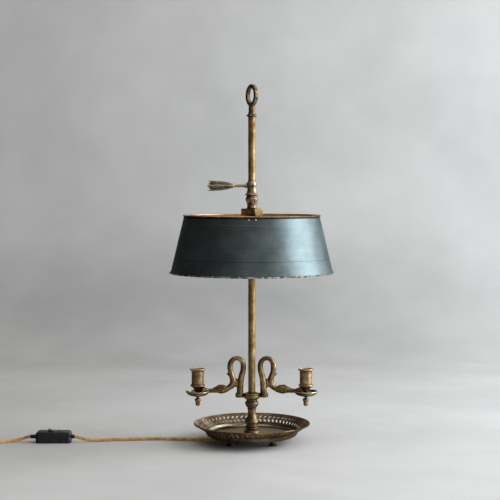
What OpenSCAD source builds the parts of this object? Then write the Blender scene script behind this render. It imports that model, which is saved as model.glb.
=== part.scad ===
// Two-light bouillotte lamp: a pierced tray on turned feet, a turned stem with two bird-neck
// candle arms, a tall rod with a ring finial, and a drum shade that slides on a keyed collar.
// Millimetres. Origin on the floor under the rod's axis, +Z up, arms along X, front towards -Y.

/* [Lamp] */
// Overall height, floor to the top of the ring
lamp_h = 678; // [620:1:740]
// Outer diameter of the rod
rod_d = 13.5; // [12:0.1:16]
// Wall of the rod's tube
rod_wall = 1.6; // [1.2:0.1:1.8]
// Radial running gap of collar and neck on the rod
slide_gap = 0.05; // [0.02:0.01:0.1]
// Radial gap of fixed turned pieces on the nipple
seat_gap = 0.1; // [0.05:0.05:0.2]

/* [Tray] */
// Outer diameter over the tray's rolled rim
tray_d = 221; // [200:1:260]
// Height of the tray's underside above the floor
foot_h = 13.3; // [12:0.1:18]
// Thickness of the tray's sheet
tray_t = 1.2; // [0.8:0.1:1.6]
// Height of the tray's solid wall, underside to the gallery's seat
tray_wall_h = 8.7; // [6:0.1:14]
// Radius of the bend between the tray's floor and wall
tray_bend_r = 9.5; // [8.8:0.1:15.5]
// Height of the pierced gallery, seat to rim
gallery_h = 15.4; // [10:0.2:20]
// Radial width of the pierced gallery's slope
gallery_w = 22.4; // [18:0.2:30]
// Thickness of the gallery's sheet
gallery_t = 1.0; // [0.8:0.1:1.4]
// Radius of the bead rolled on the gallery's edge
gallery_bead_r = 1.3; // [1:0.1:1.8]
// Number of chevrons pierced round the gallery
chevrons = 68; // [48:1:72]
// Width of one pierced leaf
leaf_w = 3.3; // [2:0.1:3.6]
// Tilt of a pierced leaf from the slope's own line
leaf_tilt = 34; // [20:1:42]
// Width of the plain border outside the chevrons, along the slope
border_w = 5.2; // [4:0.2:9]
// Distance of a foot's centre from the rod's axis
foot_place_r = 56; // [45:1:64]
// Diameter of a foot's disc on the floor
foot_d = 16; // [12:0.5:20]

/* [Stem] */
// Height of the stem's spreading foot
stem_foot_h = 20.5; // [16:0.5:26]
// Diameter of the stem's foot on the tray
stem_foot_d = 34; // [30:0.5:40]
// Height of the baluster
baluster_h = 30.5; // [26:0.5:40]
// Widest diameter of the baluster
baluster_d = 25.2; // [24:0.2:30]
// Narrowest diameter of the baluster
baluster_neck_d = 15.2; // [15:0.2:18]
// Height of the knop under the arms
knop_h = 15.2; // [13:0.2:20]
// Widest diameter of the knop
knop_d = 25.8; // [22:0.2:30]
// Height of the hub that carries the arms
hub_h = 13; // [12:0.5:18]
// Largest diameter of the hub
hub_d = 31; // [26:0.5:34]
// Outer diameter of the threaded nipple through the stem
nipple_d = 10; // [9:0.1:10.2]
// Bore of the nipple
nipple_bore = 7; // [6:0.1:7.4]

/* [Arms] */
// Distance of a candle cup's axis from the rod's axis
cup_x = 102.7; // [96:0.1:112]
// Height of the arm's loop above the hub's top
loop_h = 71; // [64:0.5:84]
// Scale of the arm's own thickness
arm_bulk = 1.0; // [0.85:0.01:1.1]
// Diameter of the arm's foot flange
arm_foot_d = 16.5; // [15.5:0.1:18]
// Diameter of a drip pan
pan_d = 46; // [40:0.5:54]
// Thickness of a drip pan
pan_t = 1.0; // [0.8:0.1:1.4]
// Depth of a drip pan
pan_deep = 9; // [6:0.5:12]
// Outer diameter of a candle cup's body
cup_d = 23.2; // [22:0.1:27]
// Bore of a candle cup
candle_bore = 21.4; // [20:0.1:24]
// Height of a candle cup, foot to rim
cup_h = 40.6; // [32:0.2:46]
// Diameter of a candle cup's lip
cup_lip_d = 29.6; // [27:0.2:34]
// Diameter of the bolt through cup, arm and pan
cup_bolt_d = 4; // [3:0.1:5]

/* [Finial] */
// Outer diameter of the finial's ring
ring_d = 41.5; // [34:0.5:50]
// Radial thickness of the ring's section
ring_t = 6.8; // [5:0.1:9]
// Width of the ring's section along its axis
ring_w = 7.6; // [5:0.1:9]
// Height of the finial's foot, rod to ring
finial_foot_h = 19; // [17:0.5:28]
// Turn of the ring's flat side from the lamp's front
ring_turn = -64; // [-90:1:90]

/* [Shade carrier] */
// Height of the top of the clamp collar above the floor
collar_top = 496; // [440:1:520]
// Diameter of the collar's lower flange
collar_d = 23; // [21:0.2:28]
// Diameter of the key's threaded shaft
key_shaft_d = 5.6; // [4.5:0.1:7]
// Length of the arrow key, tip to feather ends
key_l = 78; // [66:1:90]
// Height over the key's feathers
feather_h = 20; // [14:0.5:26]
// Side of the carrier's square block
block_w = 30.5; // [26:0.5:34]
// Turn of the square block from the lamp's front
block_turn = -28; // [-45:0.5:45]
// Height of the square block
block_h = 13.6; // [10:0.2:18]
// Width of the strap that carries the shade
strap_w = 19; // [17:0.5:26]
// Thickness of the strap
strap_t = 3; // [2:0.1:4]

/* [Shade] */
// Height of the shade
shade_h = 110; // [90:1:130]
// Outer diameter of the shade's wall at the top
shade_top_d = 255; // [220:1:290]
// Outer diameter of the shade's wall at the bottom
shade_bottom_d = 308; // [270:1:340]
// Thickness of the shade's metal
shade_t = 0.8; // [0.6:0.1:1.2]
// Radius of the wired edge at the shade's rims
shade_edge_r = 1.5; // [0.9:0.05:2]
// Shank diameter of a rivet
rivet_d = 2.4; // [2:0.1:3.2]
// Distance between the two rivets at one end of the strap
rivet_pitch = 12.4; // [8:0.2:13]

/* [Lights] */
// Distance of a lamp holder's axis from the rod's axis
holder_x = 44; // [36:1:60]
// Outer diameter of a lamp holder
holder_d = 27; // [24:0.5:30]
// Length of a lamp holder
holder_h = 36; // [30:1:44]
// Diameter of a bulb's glass
bulb_d = 40; // [35:1:45]
// Height of the lights' hub above the floor
lights_z = 326; // [318:1:336]

/* [Flex and switch] */
// Diameter of the silk flex
flex_d = 6.5; // [5.5:0.1:7.5]
// Length of the switch's housing
switch_l = 67; // [56:1:80]
// Width of the switch's housing
switch_w = 28; // [24:0.5:32]
// Height of the switch's housing
switch_h = 22; // [18:0.5:26]
// Width of the plug's body
plug_w = 46; // [40:0.5:52]

/* [Hidden] */

$fn = 64;
eps = 0.01;

// ---- levels and radii that follow from the sizes above ----
rod_r = rod_d / 2;
rod_bore_r = rod_r - rod_wall;
nipple_r = nipple_d / 2;
seat_r = nipple_r + seat_gap;
nipple_fit = 0.15;
tray_top = foot_h + tray_t;
stem_foot_top = tray_top + stem_foot_h;
baluster_top = stem_foot_top + baluster_h;
knop_top = baluster_top + knop_h;
hub_top = knop_top + hub_h;
rod_seat = 5;
rod_z = hub_top - rod_seat;
ring_r = ring_d / 2;
rod_top = lamp_h - ring_d - finial_foot_h;

// Tray: the step where the pierced gallery is soldered on
tray_r = tray_d / 2;
gallery_r = tray_r - gallery_w;
gallery_z = foot_h + tray_wall_h;
gallery_angle = atan2(gallery_h - gallery_bead_r, gallery_w - gallery_bead_r);
gallery_slope = norm([gallery_h - gallery_bead_r, gallery_w - gallery_bead_r]);

// Arms: the crossbar under their feet
bar_t = 3.5;
bar_z = hub_top - 7.7;
arm_foot_x = 23;
bar_w = 11;
arm_screw_r = 2;
arm_head_r = 3.4;
arm_head_h = 1.9;

// Cup, arm and pan are stacked on one bolt
arm_eye_z = hub_top + 6.1;
arm_eye_h = 11.3;
arm_eye_d = 9.4;
pan_z = arm_eye_z - arm_eye_h;
bolt_r = cup_bolt_d / 2;
bolt_gap = 0.1;

// Carrier levels, all hung from the collar's top
collar_h = 27.5;
collar_z = collar_top - collar_h;
neck_gap = 0.3;
neck_top = collar_z - neck_gap;
neck_h = 23.6;
neck_z = neck_top - neck_h;
block_z = neck_z - block_h;
strap_z = block_z - strap_t;
shade_top = block_z + 1.3;
shade_z = shade_top - shade_h;
key_z = collar_top - 8.6;
key_boss_r = 13.4;
run_r = rod_r + slide_gap;
spigot_r = run_r + 2.2;
spigot_h = 7.5;
spigot_gap = 0.05;
snap_wire_r = 0.5;
snap_gap = 0.15;
snap_z = collar_z - spigot_h + 2.4;

// Shade: radius of the outer wall at a height above the shade's bottom
shade_lean = atan2((shade_bottom_d - shade_top_d) / 2, shade_h);
function shade_r(z) = shade_bottom_d / 2 + (z - shade_z) / shade_h * (shade_top_d - shade_bottom_d) / 2;
tab_gap = 0.15;
tab_h = 13;
tab_t = 2;
rivet_z = shade_top - 6.3;

// Lights
tube_r = 5;
holder_cup_h = 11;
holder_z = lights_z + holder_cup_h;
bulb_neck = 7.2;
bulb_r = bulb_d / 2;
bulb_z = holder_z + holder_h + 21;

// Flex: round-number route points, on the floor at half the flex's diameter
flex_r = flex_d / 2;
anchor_x = -18;
anchor_l = 14;
sleeve_l = 24;
anchor_flex_z = 4.9;
switch_x = -376.5;
switch_y = -3;
gland_long = 11;
gland_short = 6;
gland_z = switch_h / 2;
split_z = switch_h / 2;
coil_x = -548;
coil_y = 10;
coil_mid_r = 36;
coil_wide = 3 * flex_d;
coil_high = 2 * flex_d;
plug_x = -632;
plug_y = -32;
route_switch = [
    [-24, 0, 4.9], [-32, 0, 4.9], [-41, 0, 4.9], [-50, 0, 4.9], [-59, 0.5, 4.4], [-70, 2, 3.7],
    [-90, 5, 3.3], [-120, 10, 3.3], [-150, 14, 3.3], [-180, 16, 3.3], [-210, 15, 3.3],
    [-240, 11, 3.3], [-265, 7, 3.3], [-285, 3, 3.3], [-300, 0, 3.6], [-313, -2, 4.8],
    [-322, -3, 7], [-330, -3, 9.6], [-336.8, -3, 11],
];
route_coil = [
    [-421.2, -3, 11], [-428, -3, 9.6], [-436, -3, 7], [-446, -4, 4.6], [-457, -7, 3.5],
    [-470, -13, 3.3], [-484, -20, 3.3], [-498, -26, 3.3], [-511, -30.5, 3.3],
    [-523, -32.2, 3.3],
];
route_plug = [
    [-573, -32.4, 9.8], [-580, -32.3, 9.1], [-587, -32.2, 9.2], [-594, -32.1, 10.2], [-601.7, -32, 11],
];

// ---- small geometry functions ----
function arc(c, r, a0, a1, n = 8) =
    [for (i = [0:n]) c + r * [cos(a0 + (a1 - a0) * i / n), sin(a0 + (a1 - a0) * i / n)]];

// A smooth curve through control points that hold any number of values each
function pass(a, b, c, d, t) =
    0.5 * (2 * b + (c - a) * t + (2 * a - 5 * b + 4 * c - d) * t * t + (3 * b - a - 3 * c + d) * t * t * t);
function smooth(p, n) = let (m = len(p) - 1) concat(
    [for (i = [0:m - 1], k = [0:n - 1])
        pass(p[max(i - 1, 0)], p[i], p[i + 1], p[min(i + 2, m)], k / n)],
    [p[m]]);

// Side faces and end caps of a stack of rings with n points each
function ring_faces(rings, n) = concat(
    [for (i = [0:rings - 2], k = [0:n - 1])
        [i * n + k, i * n + (k + 1) % n, (i + 1) * n + (k + 1) % n, (i + 1) * n + k]],
    [[for (k = [n - 1:-1:0]) k]],
    [[for (k = [0:n - 1]) (rings - 1) * n + k]]);

// Solid along a curve in the XZ plane: each station is [x, z, width in plane, depth in Y]
module flat_sweep(stations, n = 12) {
    last = len(stations) - 1;
    points = [for (i = [0:last]) let (
            s = stations[i],
            ahead = stations[min(i + 1, last)] - stations[max(i - 1, 0)],
            t = [ahead[0], ahead[1]] / norm([ahead[0], ahead[1]]))
        for (k = [0:n - 1]) let (a = 360 * k / n)
            [s[0] - t[1] * s[2] / 2 * cos(a), s[3] / 2 * sin(a), s[1] + t[0] * s[2] / 2 * cos(a)]];
    polyhedron(points, ring_faces(last + 1, n));
}

// Round tube along a route of points that never runs straight up
module flex_tube(route, r, n = 10) {
    last = len(route) - 1;
    points = [for (i = [0:last]) let (
            ahead = route[min(i + 1, last)] - route[max(i - 1, 0)],
            t = ahead / norm(ahead),
            side = cross([0, 0, 1], t) / norm(cross([0, 0, 1], t)),
            up = cross(t, side))
        for (k = [0:n - 1]) let (a = 360 * k / n) route[i] + r * (cos(a) * side + sin(a) * up)];
    polyhedron(points, ring_faces(last + 1, n));
}

module turned(points) { rotate_extrude() polygon(points); }

module bored(points, r, z0, z1) {
    difference() {
        turned(points);
        translate([0, 0, z0 - 1]) cylinder(r = r, h = z1 - z0 + 2);
    }
}

module each_side() {
    for (s = [0, 1]) mirror([s, 0, 0]) children();
}

// ---- tray and feet ----
module at_feet() {
    for (a = [45:90:315]) rotate([0, 0, a]) translate([foot_place_r, 0, 0]) rotate([0, 0, -a]) children();
}

foot_stud_r = 1.6;
foot_stud_l = 8;

module foot_profile() {
    polygon(concat(
        [[0, 0], [foot_d / 2 - 1, 0]],
        arc([foot_d / 2 - 1, 1], 1, -90, 0, 4),
        arc([foot_d / 2 - 1.4, 2.6], 1.4, 0, 90, 5),
        [[foot_d / 2 - 3, 4.6]],
        arc([foot_d / 2, 7], 3.6, 214, 150, 6),
        [[foot_d / 2 - 1.9, 9.6], [foot_d / 2 - 1.6, 10.6], [foot_d / 2 - 1.6, foot_h], [0, foot_h]]));
}

module feet() {
    color("#6b5a3c") at_feet() difference() {
        rotate_extrude() foot_profile();
        translate([0, 0, foot_h - foot_stud_l]) cylinder(r = foot_stud_r + 0.05, h = foot_stud_l + 1);
    }
}

// Studs peened flush with the tray's floor
module foot_screws() {
    color("#8a7444") at_feet() translate([0, 0, foot_h - foot_stud_l + 0.5])
        cylinder(r = foot_stud_r, h = foot_stud_l - 0.5 + tray_t);
}

module tray_profile(grow) {
    // Outer face of the dish: floor, bend and wall, moved inwards by grow
    bend = tray_bend_r - grow;
    centre = [gallery_r + 0.5 - tray_bend_r, foot_h + tray_bend_r];
    rise = asin(min(1, (tray_bend_r - tray_wall_h) / bend));
    polygon(concat(
        [[0, foot_h + grow]],
        arc(centre, bend, -90, -rise, 12),
        [[0, gallery_z + (grow ? 2 : 0)]]));
}

module tray() {
    color("#86754f") difference() {
        intersection() {
            rotate_extrude() tray_profile(0);
            cylinder(r = tray_r, h = gallery_z);
        }
        rotate_extrude() tray_profile(tray_t);
        translate([0, 0, foot_h - 1]) cylinder(r = seat_r, h = tray_t + 2);
        at_feet() translate([0, 0, foot_h - 1]) cylinder(r = foot_stud_r + 0.02, h = tray_t + 2);
        at_anchor_screws() translate([0, 0, foot_h - 1])
            cylinder(r = anchor_screw_r + 0.02, h = tray_t + 2);
    }
}

module leaf(l, w) {
    r = (l * l / 4 + w * w / 4) / w;
    linear_extrude(height = 5, center = true) intersection() {
        translate([0, r - w / 2]) circle(r = r);
        translate([0, w / 2 - r]) circle(r = r);
    }
}

// One row of pierced leaves: distance up the slope, leaf length and tilt
module leaf_row(along, l, tilt, phase) {
    r = gallery_r + along * cos(gallery_angle);
    z = gallery_z + gallery_t / 2 + along * sin(gallery_angle);
    for (i = [0:chevrons - 1]) rotate([0, 0, 360 * (i + phase) / chevrons])
        translate([r, 0, z]) rotate([0, -gallery_angle, 0]) rotate([0, 0, tilt]) leaf(l, leaf_w);
}

module gallery() {
    bead = [tray_r - gallery_bead_r, gallery_z + gallery_h - gallery_bead_r];
    up = gallery_t * [-sin(gallery_angle), cos(gallery_angle)];
    foot = [gallery_r, gallery_z];
    row_l = (gallery_slope - border_w) / 2;
    leaf_l = (row_l - 1.6) / cos(leaf_tilt) + leaf_w * 0.35;
    color("#7b6f58") difference() {
        union() {
            turned([[gallery_r - 2.6, gallery_z], foot + [0.4, 0], bead + [0.5, -0.6],
                bead + up + [0.2, 0.2], foot + up, [gallery_r - 2.6, gallery_z + gallery_t]]);
            rotate_extrude() translate(bead) circle(r = gallery_bead_r, $fn = 24);
        }
        leaf_row(row_l * 0.5 + 0.6, leaf_l, leaf_tilt, 0);
        leaf_row(row_l * 1.5 + 0.6, leaf_l, -leaf_tilt, 0.12);
    }
}

// ---- stem ----
module hex_nut(w, h, bore) {
    difference() {
        cylinder(d = w / cos(30), h = h, $fn = 6);
        translate([0, 0, -1]) cylinder(r = bore, h = h + 2);
    }
}

base_washer_t = 1;
base_nut_h = 3.4;
nipple_z = foot_h - base_washer_t - base_nut_h - 0.4;
nipple_top = rod_z + 22;

module base_washer() {
    color("#9a8455") translate([0, 0, foot_h - base_washer_t]) difference() {
        cylinder(d = 22, h = base_washer_t);
        translate([0, 0, -1]) cylinder(r = seat_r, h = base_washer_t + 2);
    }
}

module base_nut() {
    color("#8c7a50") translate([0, 0, foot_h - base_washer_t - base_nut_h])
        hex_nut(nipple_d + 4, base_nut_h, nipple_r + 0.02);
}

module nipple() {
    color("#a08b58") translate([0, 0, nipple_z]) difference() {
        cylinder(r = nipple_r, h = nipple_top - nipple_z);
        translate([0, 0, -1]) cylinder(d = nipple_bore, h = nipple_top - nipple_z + 2);
    }
}

module stem_foot() {
    r = stem_foot_d / 2;
    h = stem_foot_h;
    z = tray_top;
    color("#8b7343") bored(concat(
        [[0, z], [r, z]],
        arc([r - 1.1, z + 1.1], 1.1, 0, 90, 5),
        smooth([[r - 1.3, z + 2.4], [r - 1.6, z + 4.6], [r - 2.6, z + h - 13], [r - 4.7, z + h - 11.2]], 4),
        arc([r - 6.9, z + h - 8], 2.3, -60, 70, 8),
        [[r - 6.5, z + h - 5.3]],
        arc([r - 6.6, z + h - 3.4], 1.4, -70, 70, 6),
        [[r - 6.5, z + h - 1.4], [r - 6.5, z + h], [0, z + h]]), seat_r, z, z + h);
}

module baluster() {
    wide = baluster_d / 2;
    thin = baluster_neck_d / 2;
    z = stem_foot_top;
    h = baluster_h;
    body = smooth([[wide, z + 4.4], [wide - 0.8, z + 7], [wide - 2.6, z + 10.2], [thin + 1.1, z + 14.4],
        [thin + 0.1, z + 18.6], [thin, z + h - 4.6]], 4);
    color("#927a48") bored(concat(
        [[0, z], [wide - 1.9, z], [wide - 1.9, z + 1.2]],
        arc([wide - 2.2, z + 3.8], 2.2, -70, 0, 7),
        body,
        [[thin, z + h - 3.6]],
        arc([thin - 0.7, z + h - 1.8], 1.6, -75, 75, 7),
        [[thin, z + h], [0, z + h]]), seat_r, z, z + h);
}

module knop() {
    r = knop_d / 2;
    z = baluster_top;
    h = knop_h;
    color("#7d6a41") bored(concat(
        [[0, z], [r - 5, z]],
        smooth([[r - 4.8, z + 0.5], [r - 2.8, z + 2.6], [r - 0.9, z + 5.4], [r, z + 8.6],
            [r - 0.6, z + h - 3.9], [r - 2, z + h - 2.4]], 4),
        [[r - 2.6, z + h - 2], [r - 2.6, z + h], [0, z + h]]), seat_r, z, z + h);
}

module arm_hub() {
    r = hub_d / 2;
    z = knop_top;
    h = hub_h;
    color("#85703f") difference() {
        union() {
            turned(concat(
                [[0, z], [r - 5.2, z], [r - 5.2, z + 0.9]],
                smooth([[r - 4.6, z + 1.1], [r - 3, z + 1.9], [r - 1.3, z + 3.4], [r - 0.2, z + 5.6],
                    [r, z + 7.4]], 4),
                [[r, z + h - 3.4], [r - 0.6, z + h - 3]],
                arc([r - 1.5, z + h - 1.4], 1.4, -40, 90, 5),
                [[0, z + h]]));
            translate([-arm_foot_x, -bar_w / 2, bar_z]) cube([2 * arm_foot_x, bar_w, bar_t]);
            each_side() translate([arm_foot_x, 0, bar_z]) cylinder(d = arm_foot_d, h = bar_t);
        }
        translate([0, 0, z - 1]) cylinder(r = seat_r, h = h + 2);
        translate([0, 0, rod_z]) cylinder(r = rod_r + seat_gap, h = rod_seat + 1);
        each_side() translate([arm_foot_x, 0, bar_z + bar_t])
            cylinder(d = arm_foot_d + 0.2, h = hub_top);
        each_side() translate([arm_foot_x, 0, bar_z - 1]) {
            cylinder(r = arm_screw_r + 0.1, h = bar_t + 2);
            cylinder(r = arm_head_r + 0.15, h = arm_head_h + 1);
        }
    }
}

// Screws from below, their heads sunk in the crossbar
module arm_screws() {
    color("#6f5f3a") each_side() translate([arm_foot_x, 0, bar_z]) {
        cylinder(r = arm_screw_r, h = bar_t + 5);
        cylinder(r = arm_head_r, h = arm_head_h);
    }
}

// ---- arms ----
// Stations from the foot, up the neck and round the loop, then down to the head and beak
arm_rise = loop_h / 71;
arm_out = (cup_x - 4) / 98.7;
neck_up = [
    [22.8, -3, 12.8, 12.2], [22.3, 5, 12.6, 12], [21.9, 14, 12.4, 11.8], [21.3, 24, 12, 11.4],
    [19.3, 33.5, 11.4, 11], [16.8, 43, 10.6, 10.4], [16.1, 52.5, 10.2, 9.8], [18.4, 60.3, 9.6, 9.4],
    [22.9, 65, 8.8, 9], [28.7, 66.6, 8.4, 8.8], [34.6, 65, 8.8, 9], [39.1, 59.9, 9.6, 9.4],
    [41.2, 52.5, 10.4, 9.8], [40.6, 43, 10.2, 10.2],
];
neck_down = [
    [39.1, 59.9, 9.4, 9.2], [41.2, 53, 10.4, 9.8], [41, 46, 10.8, 10.2], [39.8, 39, 10.2, 10.2],
    [37.6, 32, 10.8, 10.6], [35.8, 26, 11.8, 11.2], [35.6, 20.5, 12.4, 11.6], [37.2, 15.8, 12, 11.6],
    [40.6, 12.4, 10.8, 11.2], [44.8, 9.6, 10.4, 11], [50, 7.2, 12, 11.8], [54, 7.1, 15, 13],
    [58.5, 7.3, 17, 14], [63, 7.1, 16, 13.4], [67, 6.2, 12.8, 11.6], [70.2, 5.2, 10, 9.6],
    [74, 4.7, 8.6, 8.2], [79, 4.4, 8.2, 7.6], [84, 4.1, 7.8, 7.8], [89, 3.6, 7.4, 8.4], [93, 2.8, 6.8, 8.4],
    [96, 2, 6, 7.6], [99, 1.2, 6, 7],
];

function arm_stations(list) = [for (s = smooth(list, 2))
    [s[0] * arm_out, hub_top + s[1] * (s[1] > 0 ? arm_rise : 1), s[2] * arm_bulk, s[3] * arm_bulk]];

// A leaf lobe or bead: two balls hulled, each given as [x, y, z above the hub, radius]
module lobe(a, b) {
    hull() {
        for (p = [a, b]) translate([p[0] * arm_out, p[1], hub_top + p[2] * (p[2] > 0 ? arm_rise : 1)])
            sphere(r = p[3] * arm_bulk, $fn = 8);
    }
}

// Room for the cup's underside, as a profile above the eye
cup_clearance = [[0, 0], [7.3, 0], [8.8, 2.2], [10.6, 4.4], [cup_d / 2 + 0.8, 5.8],
    [cup_d / 2 + 2.8, 7.4], [cup_d / 2 + 2.8, 14], [0, 14]];

module arm_body() {
    union() {
        flat_sweep(arm_stations(neck_up));
        flat_sweep(arm_stations(neck_down));
        // Web between the legs of the loop, and the spur on the neck
        lobe([29, 0, 15.4, 4.4], [29.4, 0, 23.6, 4.2]);
        lobe([42, 0, 34, 2.4], [46.8, 0, 36.8, 0.8]);
        // Head: crest, brows, eyes, cheeks, and the cuff of leaves round the beak's root
        lobe([53.6, 0, 12.6, 3.3], [61.4, 0, 13.4, 3]);
        lobe([65.5, 0, 11.6, 2], [72.4, 0, 9.6, 1]);
        for (s = [-1, 1]) {
            lobe([48, s * 3.4, 9.8, 2.6], [55, s * 4.4, 11.4, 3]);
            lobe([57, s * 5.9, 11.6, 1.7], [64.8, s * 4.8, 10.8, 1.3]);
            lobe([60.6, s * 6.4, 8.2, 1.8], [61.4, s * 6.4, 8.2, 1.8]);
            lobe([55, s * 5, 4.4, 2.6], [62.5, s * 4.8, 3.4, 2]);
            lobe([65, s * 4.2, 6.8, 1.9], [72, s * 4, 6.2, 0.9]);
            lobe([64.5, s * 2.6, 2.4, 1.9], [71.6, s * 2.4, 2.6, 0.9]);
            lobe([84, s * 2.4, 5.8, 2.3], [93, s * 5.6, 9, 2.4]);
            lobe([86, s * 4.2, 3.4, 2.1], [94.5, s * 7.6, 4.8, 2.1]);
        }
        // Leaf over the pan's edge
        lobe([82.5, 0, 5.2, 2.4], [93.4, 0, 9.8, 2.2]);
    }
}

module arm() {
    color("#8a7448") difference() {
        union() {
            arm_body();
            translate([arm_foot_x, 0, bar_z + bar_t]) cylinder(d = arm_foot_d, h = hub_top - bar_z - bar_t);
            translate([cup_x, 0, pan_z]) cylinder(d = arm_eye_d, h = arm_eye_h);
        }
        translate([arm_foot_x, 0, bar_z]) cylinder(r = arm_screw_r + 0.05, h = bar_t + 5.6);
        translate([cup_x, 0, pan_z - 1]) cylinder(r = bolt_r + bolt_gap, h = arm_eye_h + 2);
        translate([cup_x, 0, arm_eye_z]) turned(cup_clearance);
    }
}

module arm_left() { mirror([1, 0, 0]) arm(); }
module arm_right() { arm(); }

// Rolled bead along the pan's edge: its radius, and how far below the edge its middle lies
pan_edge_r = 1.3;
pan_edge_drop = 0.9;

module pan() {
    r = pan_d / 2;
    top = pan_z + pan_deep;
    outer = concat([[0, pan_z - pan_t], [7, pan_z - pan_t]],
        smooth([[7.5, pan_z - pan_t], [r * 0.62, pan_z - pan_t + pan_deep * 0.2],
            [r * 0.86, pan_z - pan_t + pan_deep * 0.52], [r - 0.6, top - pan_t]], 4));
    inner = concat(
        smooth([[r - 0.6 - pan_t * 0.8, top - pan_t], [r * 0.86 - pan_t * 0.8, pan_z + pan_deep * 0.5],
            [r * 0.6, pan_z + pan_deep * 0.2], [7.5, pan_z]], 4),
        [[7, pan_z], [0, pan_z]]);
    color("#94814f") translate([cup_x, 0, 0]) difference() {
        union() {
            turned(concat(outer, inner));
            rotate_extrude() translate([r - pan_edge_r, top - pan_edge_drop])
                circle(r = pan_edge_r, $fn = 24);
        }
        translate([0, 0, pan_z - pan_t - 1]) cylinder(r = bolt_r + bolt_gap, h = pan_t + 2);
        translate([-r - 3, -4.6 * arm_bulk, hub_top - 1.4]) cube([r / 2 + 3, 9.2 * arm_bulk, 20]);
    }
}

module pan_left() { mirror([1, 0, 0]) pan(); }
module pan_right() { pan(); }

module cup() {
    r = cup_d / 2;
    lip = cup_lip_d / 2;
    z = arm_eye_z;
    top = z + cup_h;
    floor_z = z + 8;
    color("#8f7a4a") translate([cup_x, 0, 0]) difference() {
        turned(concat(
            [[0, z], [6.4, z], [7, z + 0.8]],
            smooth([[7.4, z + 1.4], [8.8, z + 3.4], [r - 0.8, z + 5.4], [r + 0.6, z + 6.6]], 3),
            arc([r + 0.5, z + 8.7], 2, -80, 80, 8),
            [[r, z + 11.2], [r, top - 5.6]],
            smooth([[r, top - 5.4], [r + 0.9, top - 4.2], [lip - 0.6, top - 2.4]], 3),
            arc([lip - 1, top - 1.2], 1.1, -60, 90, 6),
            [[lip - 2.4, top], [0, top]]));
        translate([0, 0, floor_z]) cylinder(d = candle_bore, h = cup_h);
        translate([0, 0, top - 1.6])
            cylinder(r1 = candle_bore / 2 - eps, r2 = candle_bore / 2 + 2.4, h = 2.4);
        translate([0, 0, z - 1]) cylinder(r = bolt_r + 0.05, h = 7.5);
    }
}

module cup_left() { mirror([1, 0, 0]) cup(); }
module cup_right() { cup(); }

module pan_finials() {
    z = pan_z - pan_t;
    color("#80683a") each_side() translate([cup_x, 0, 0]) {
        turned(concat(
            [[0, z - 0.01], [4.4, z - 0.01], [4.4, z - 0.9], [2.5, z - 1.6], [2.5, z - 3.4]],
            smooth([[3.6, z - 3.7], [5.3, z - 4.6], [6, z - 6.6], [5.5, z - 8.8], [4.6, z - 10.6],
                [4.7, z - 12.8], [4.3, z - 15.6], [2.8, z - 17.8], [0, z - 18.8]], 3)));
        translate([0, 0, z - 1]) cylinder(r = bolt_r, h = arm_eye_z + 6 - z + 1);
    }
}

// ---- rod and ring ----
wire_hole_z = lights_z + holder_cup_h / 2;

module rod() {
    color("#9c8146") difference() {
        translate([0, 0, rod_z]) cylinder(r = rod_r, h = rod_top - rod_z);
        translate([0, 0, rod_z - 1]) cylinder(r = nipple_r + nipple_fit, h = nipple_top - rod_z + 2);
        translate([0, 0, nipple_top]) cylinder(r = rod_bore_r, h = rod_top - nipple_top + 1);
        translate([0, 0, wire_hole_z]) rotate([0, 90, 0]) cylinder(r = 3, h = 3 * rod_d, center = true);
    }
}

// Circle that trims the corners of the ring's section, as a multiple of its wider side
ring_corner = 1.12;

module ring_finial() {
    z = rod_top;
    h = finial_foot_h;
    color("#7f6c43") {
        turned(concat(
            [[0, z], [rod_r + 1.2, z]],
            arc([rod_r + 1.5, z + 1.8], 1.8, -80, 80, 7),
            [[rod_r + 0.9, z + 4], [rod_r + 0.5, z + 4.3]],
            smooth([[rod_r + 0.5, z + 4.6], [rod_r - 0.6, z + 7.6], [rod_r - 0.9, z + h - 6]], 4),
            arc([rod_r - 1.4, z + h - 4], 1.5, -70, 70, 6),
            [[rod_r - 1.1, z + h - 2.2], [rod_r - 0.7, z + h + 1.6], [rod_r - 1.6, z + h + 3.4],
                [0, z + h + 3.4]]));
        translate([0, 0, z + h + ring_r]) rotate([0, 0, ring_turn]) rotate([90, 0, 0])
            rotate_extrude() translate([ring_r - ring_t / 2, 0]) intersection() {
                square([ring_t, ring_w], center = true);
                circle(d = ring_corner * max(ring_t, ring_w), $fn = 32);
            }
        translate([0, 0, z - 14]) cylinder(r = rod_bore_r - seat_gap, h = 14 + 2);
    }
}

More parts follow.
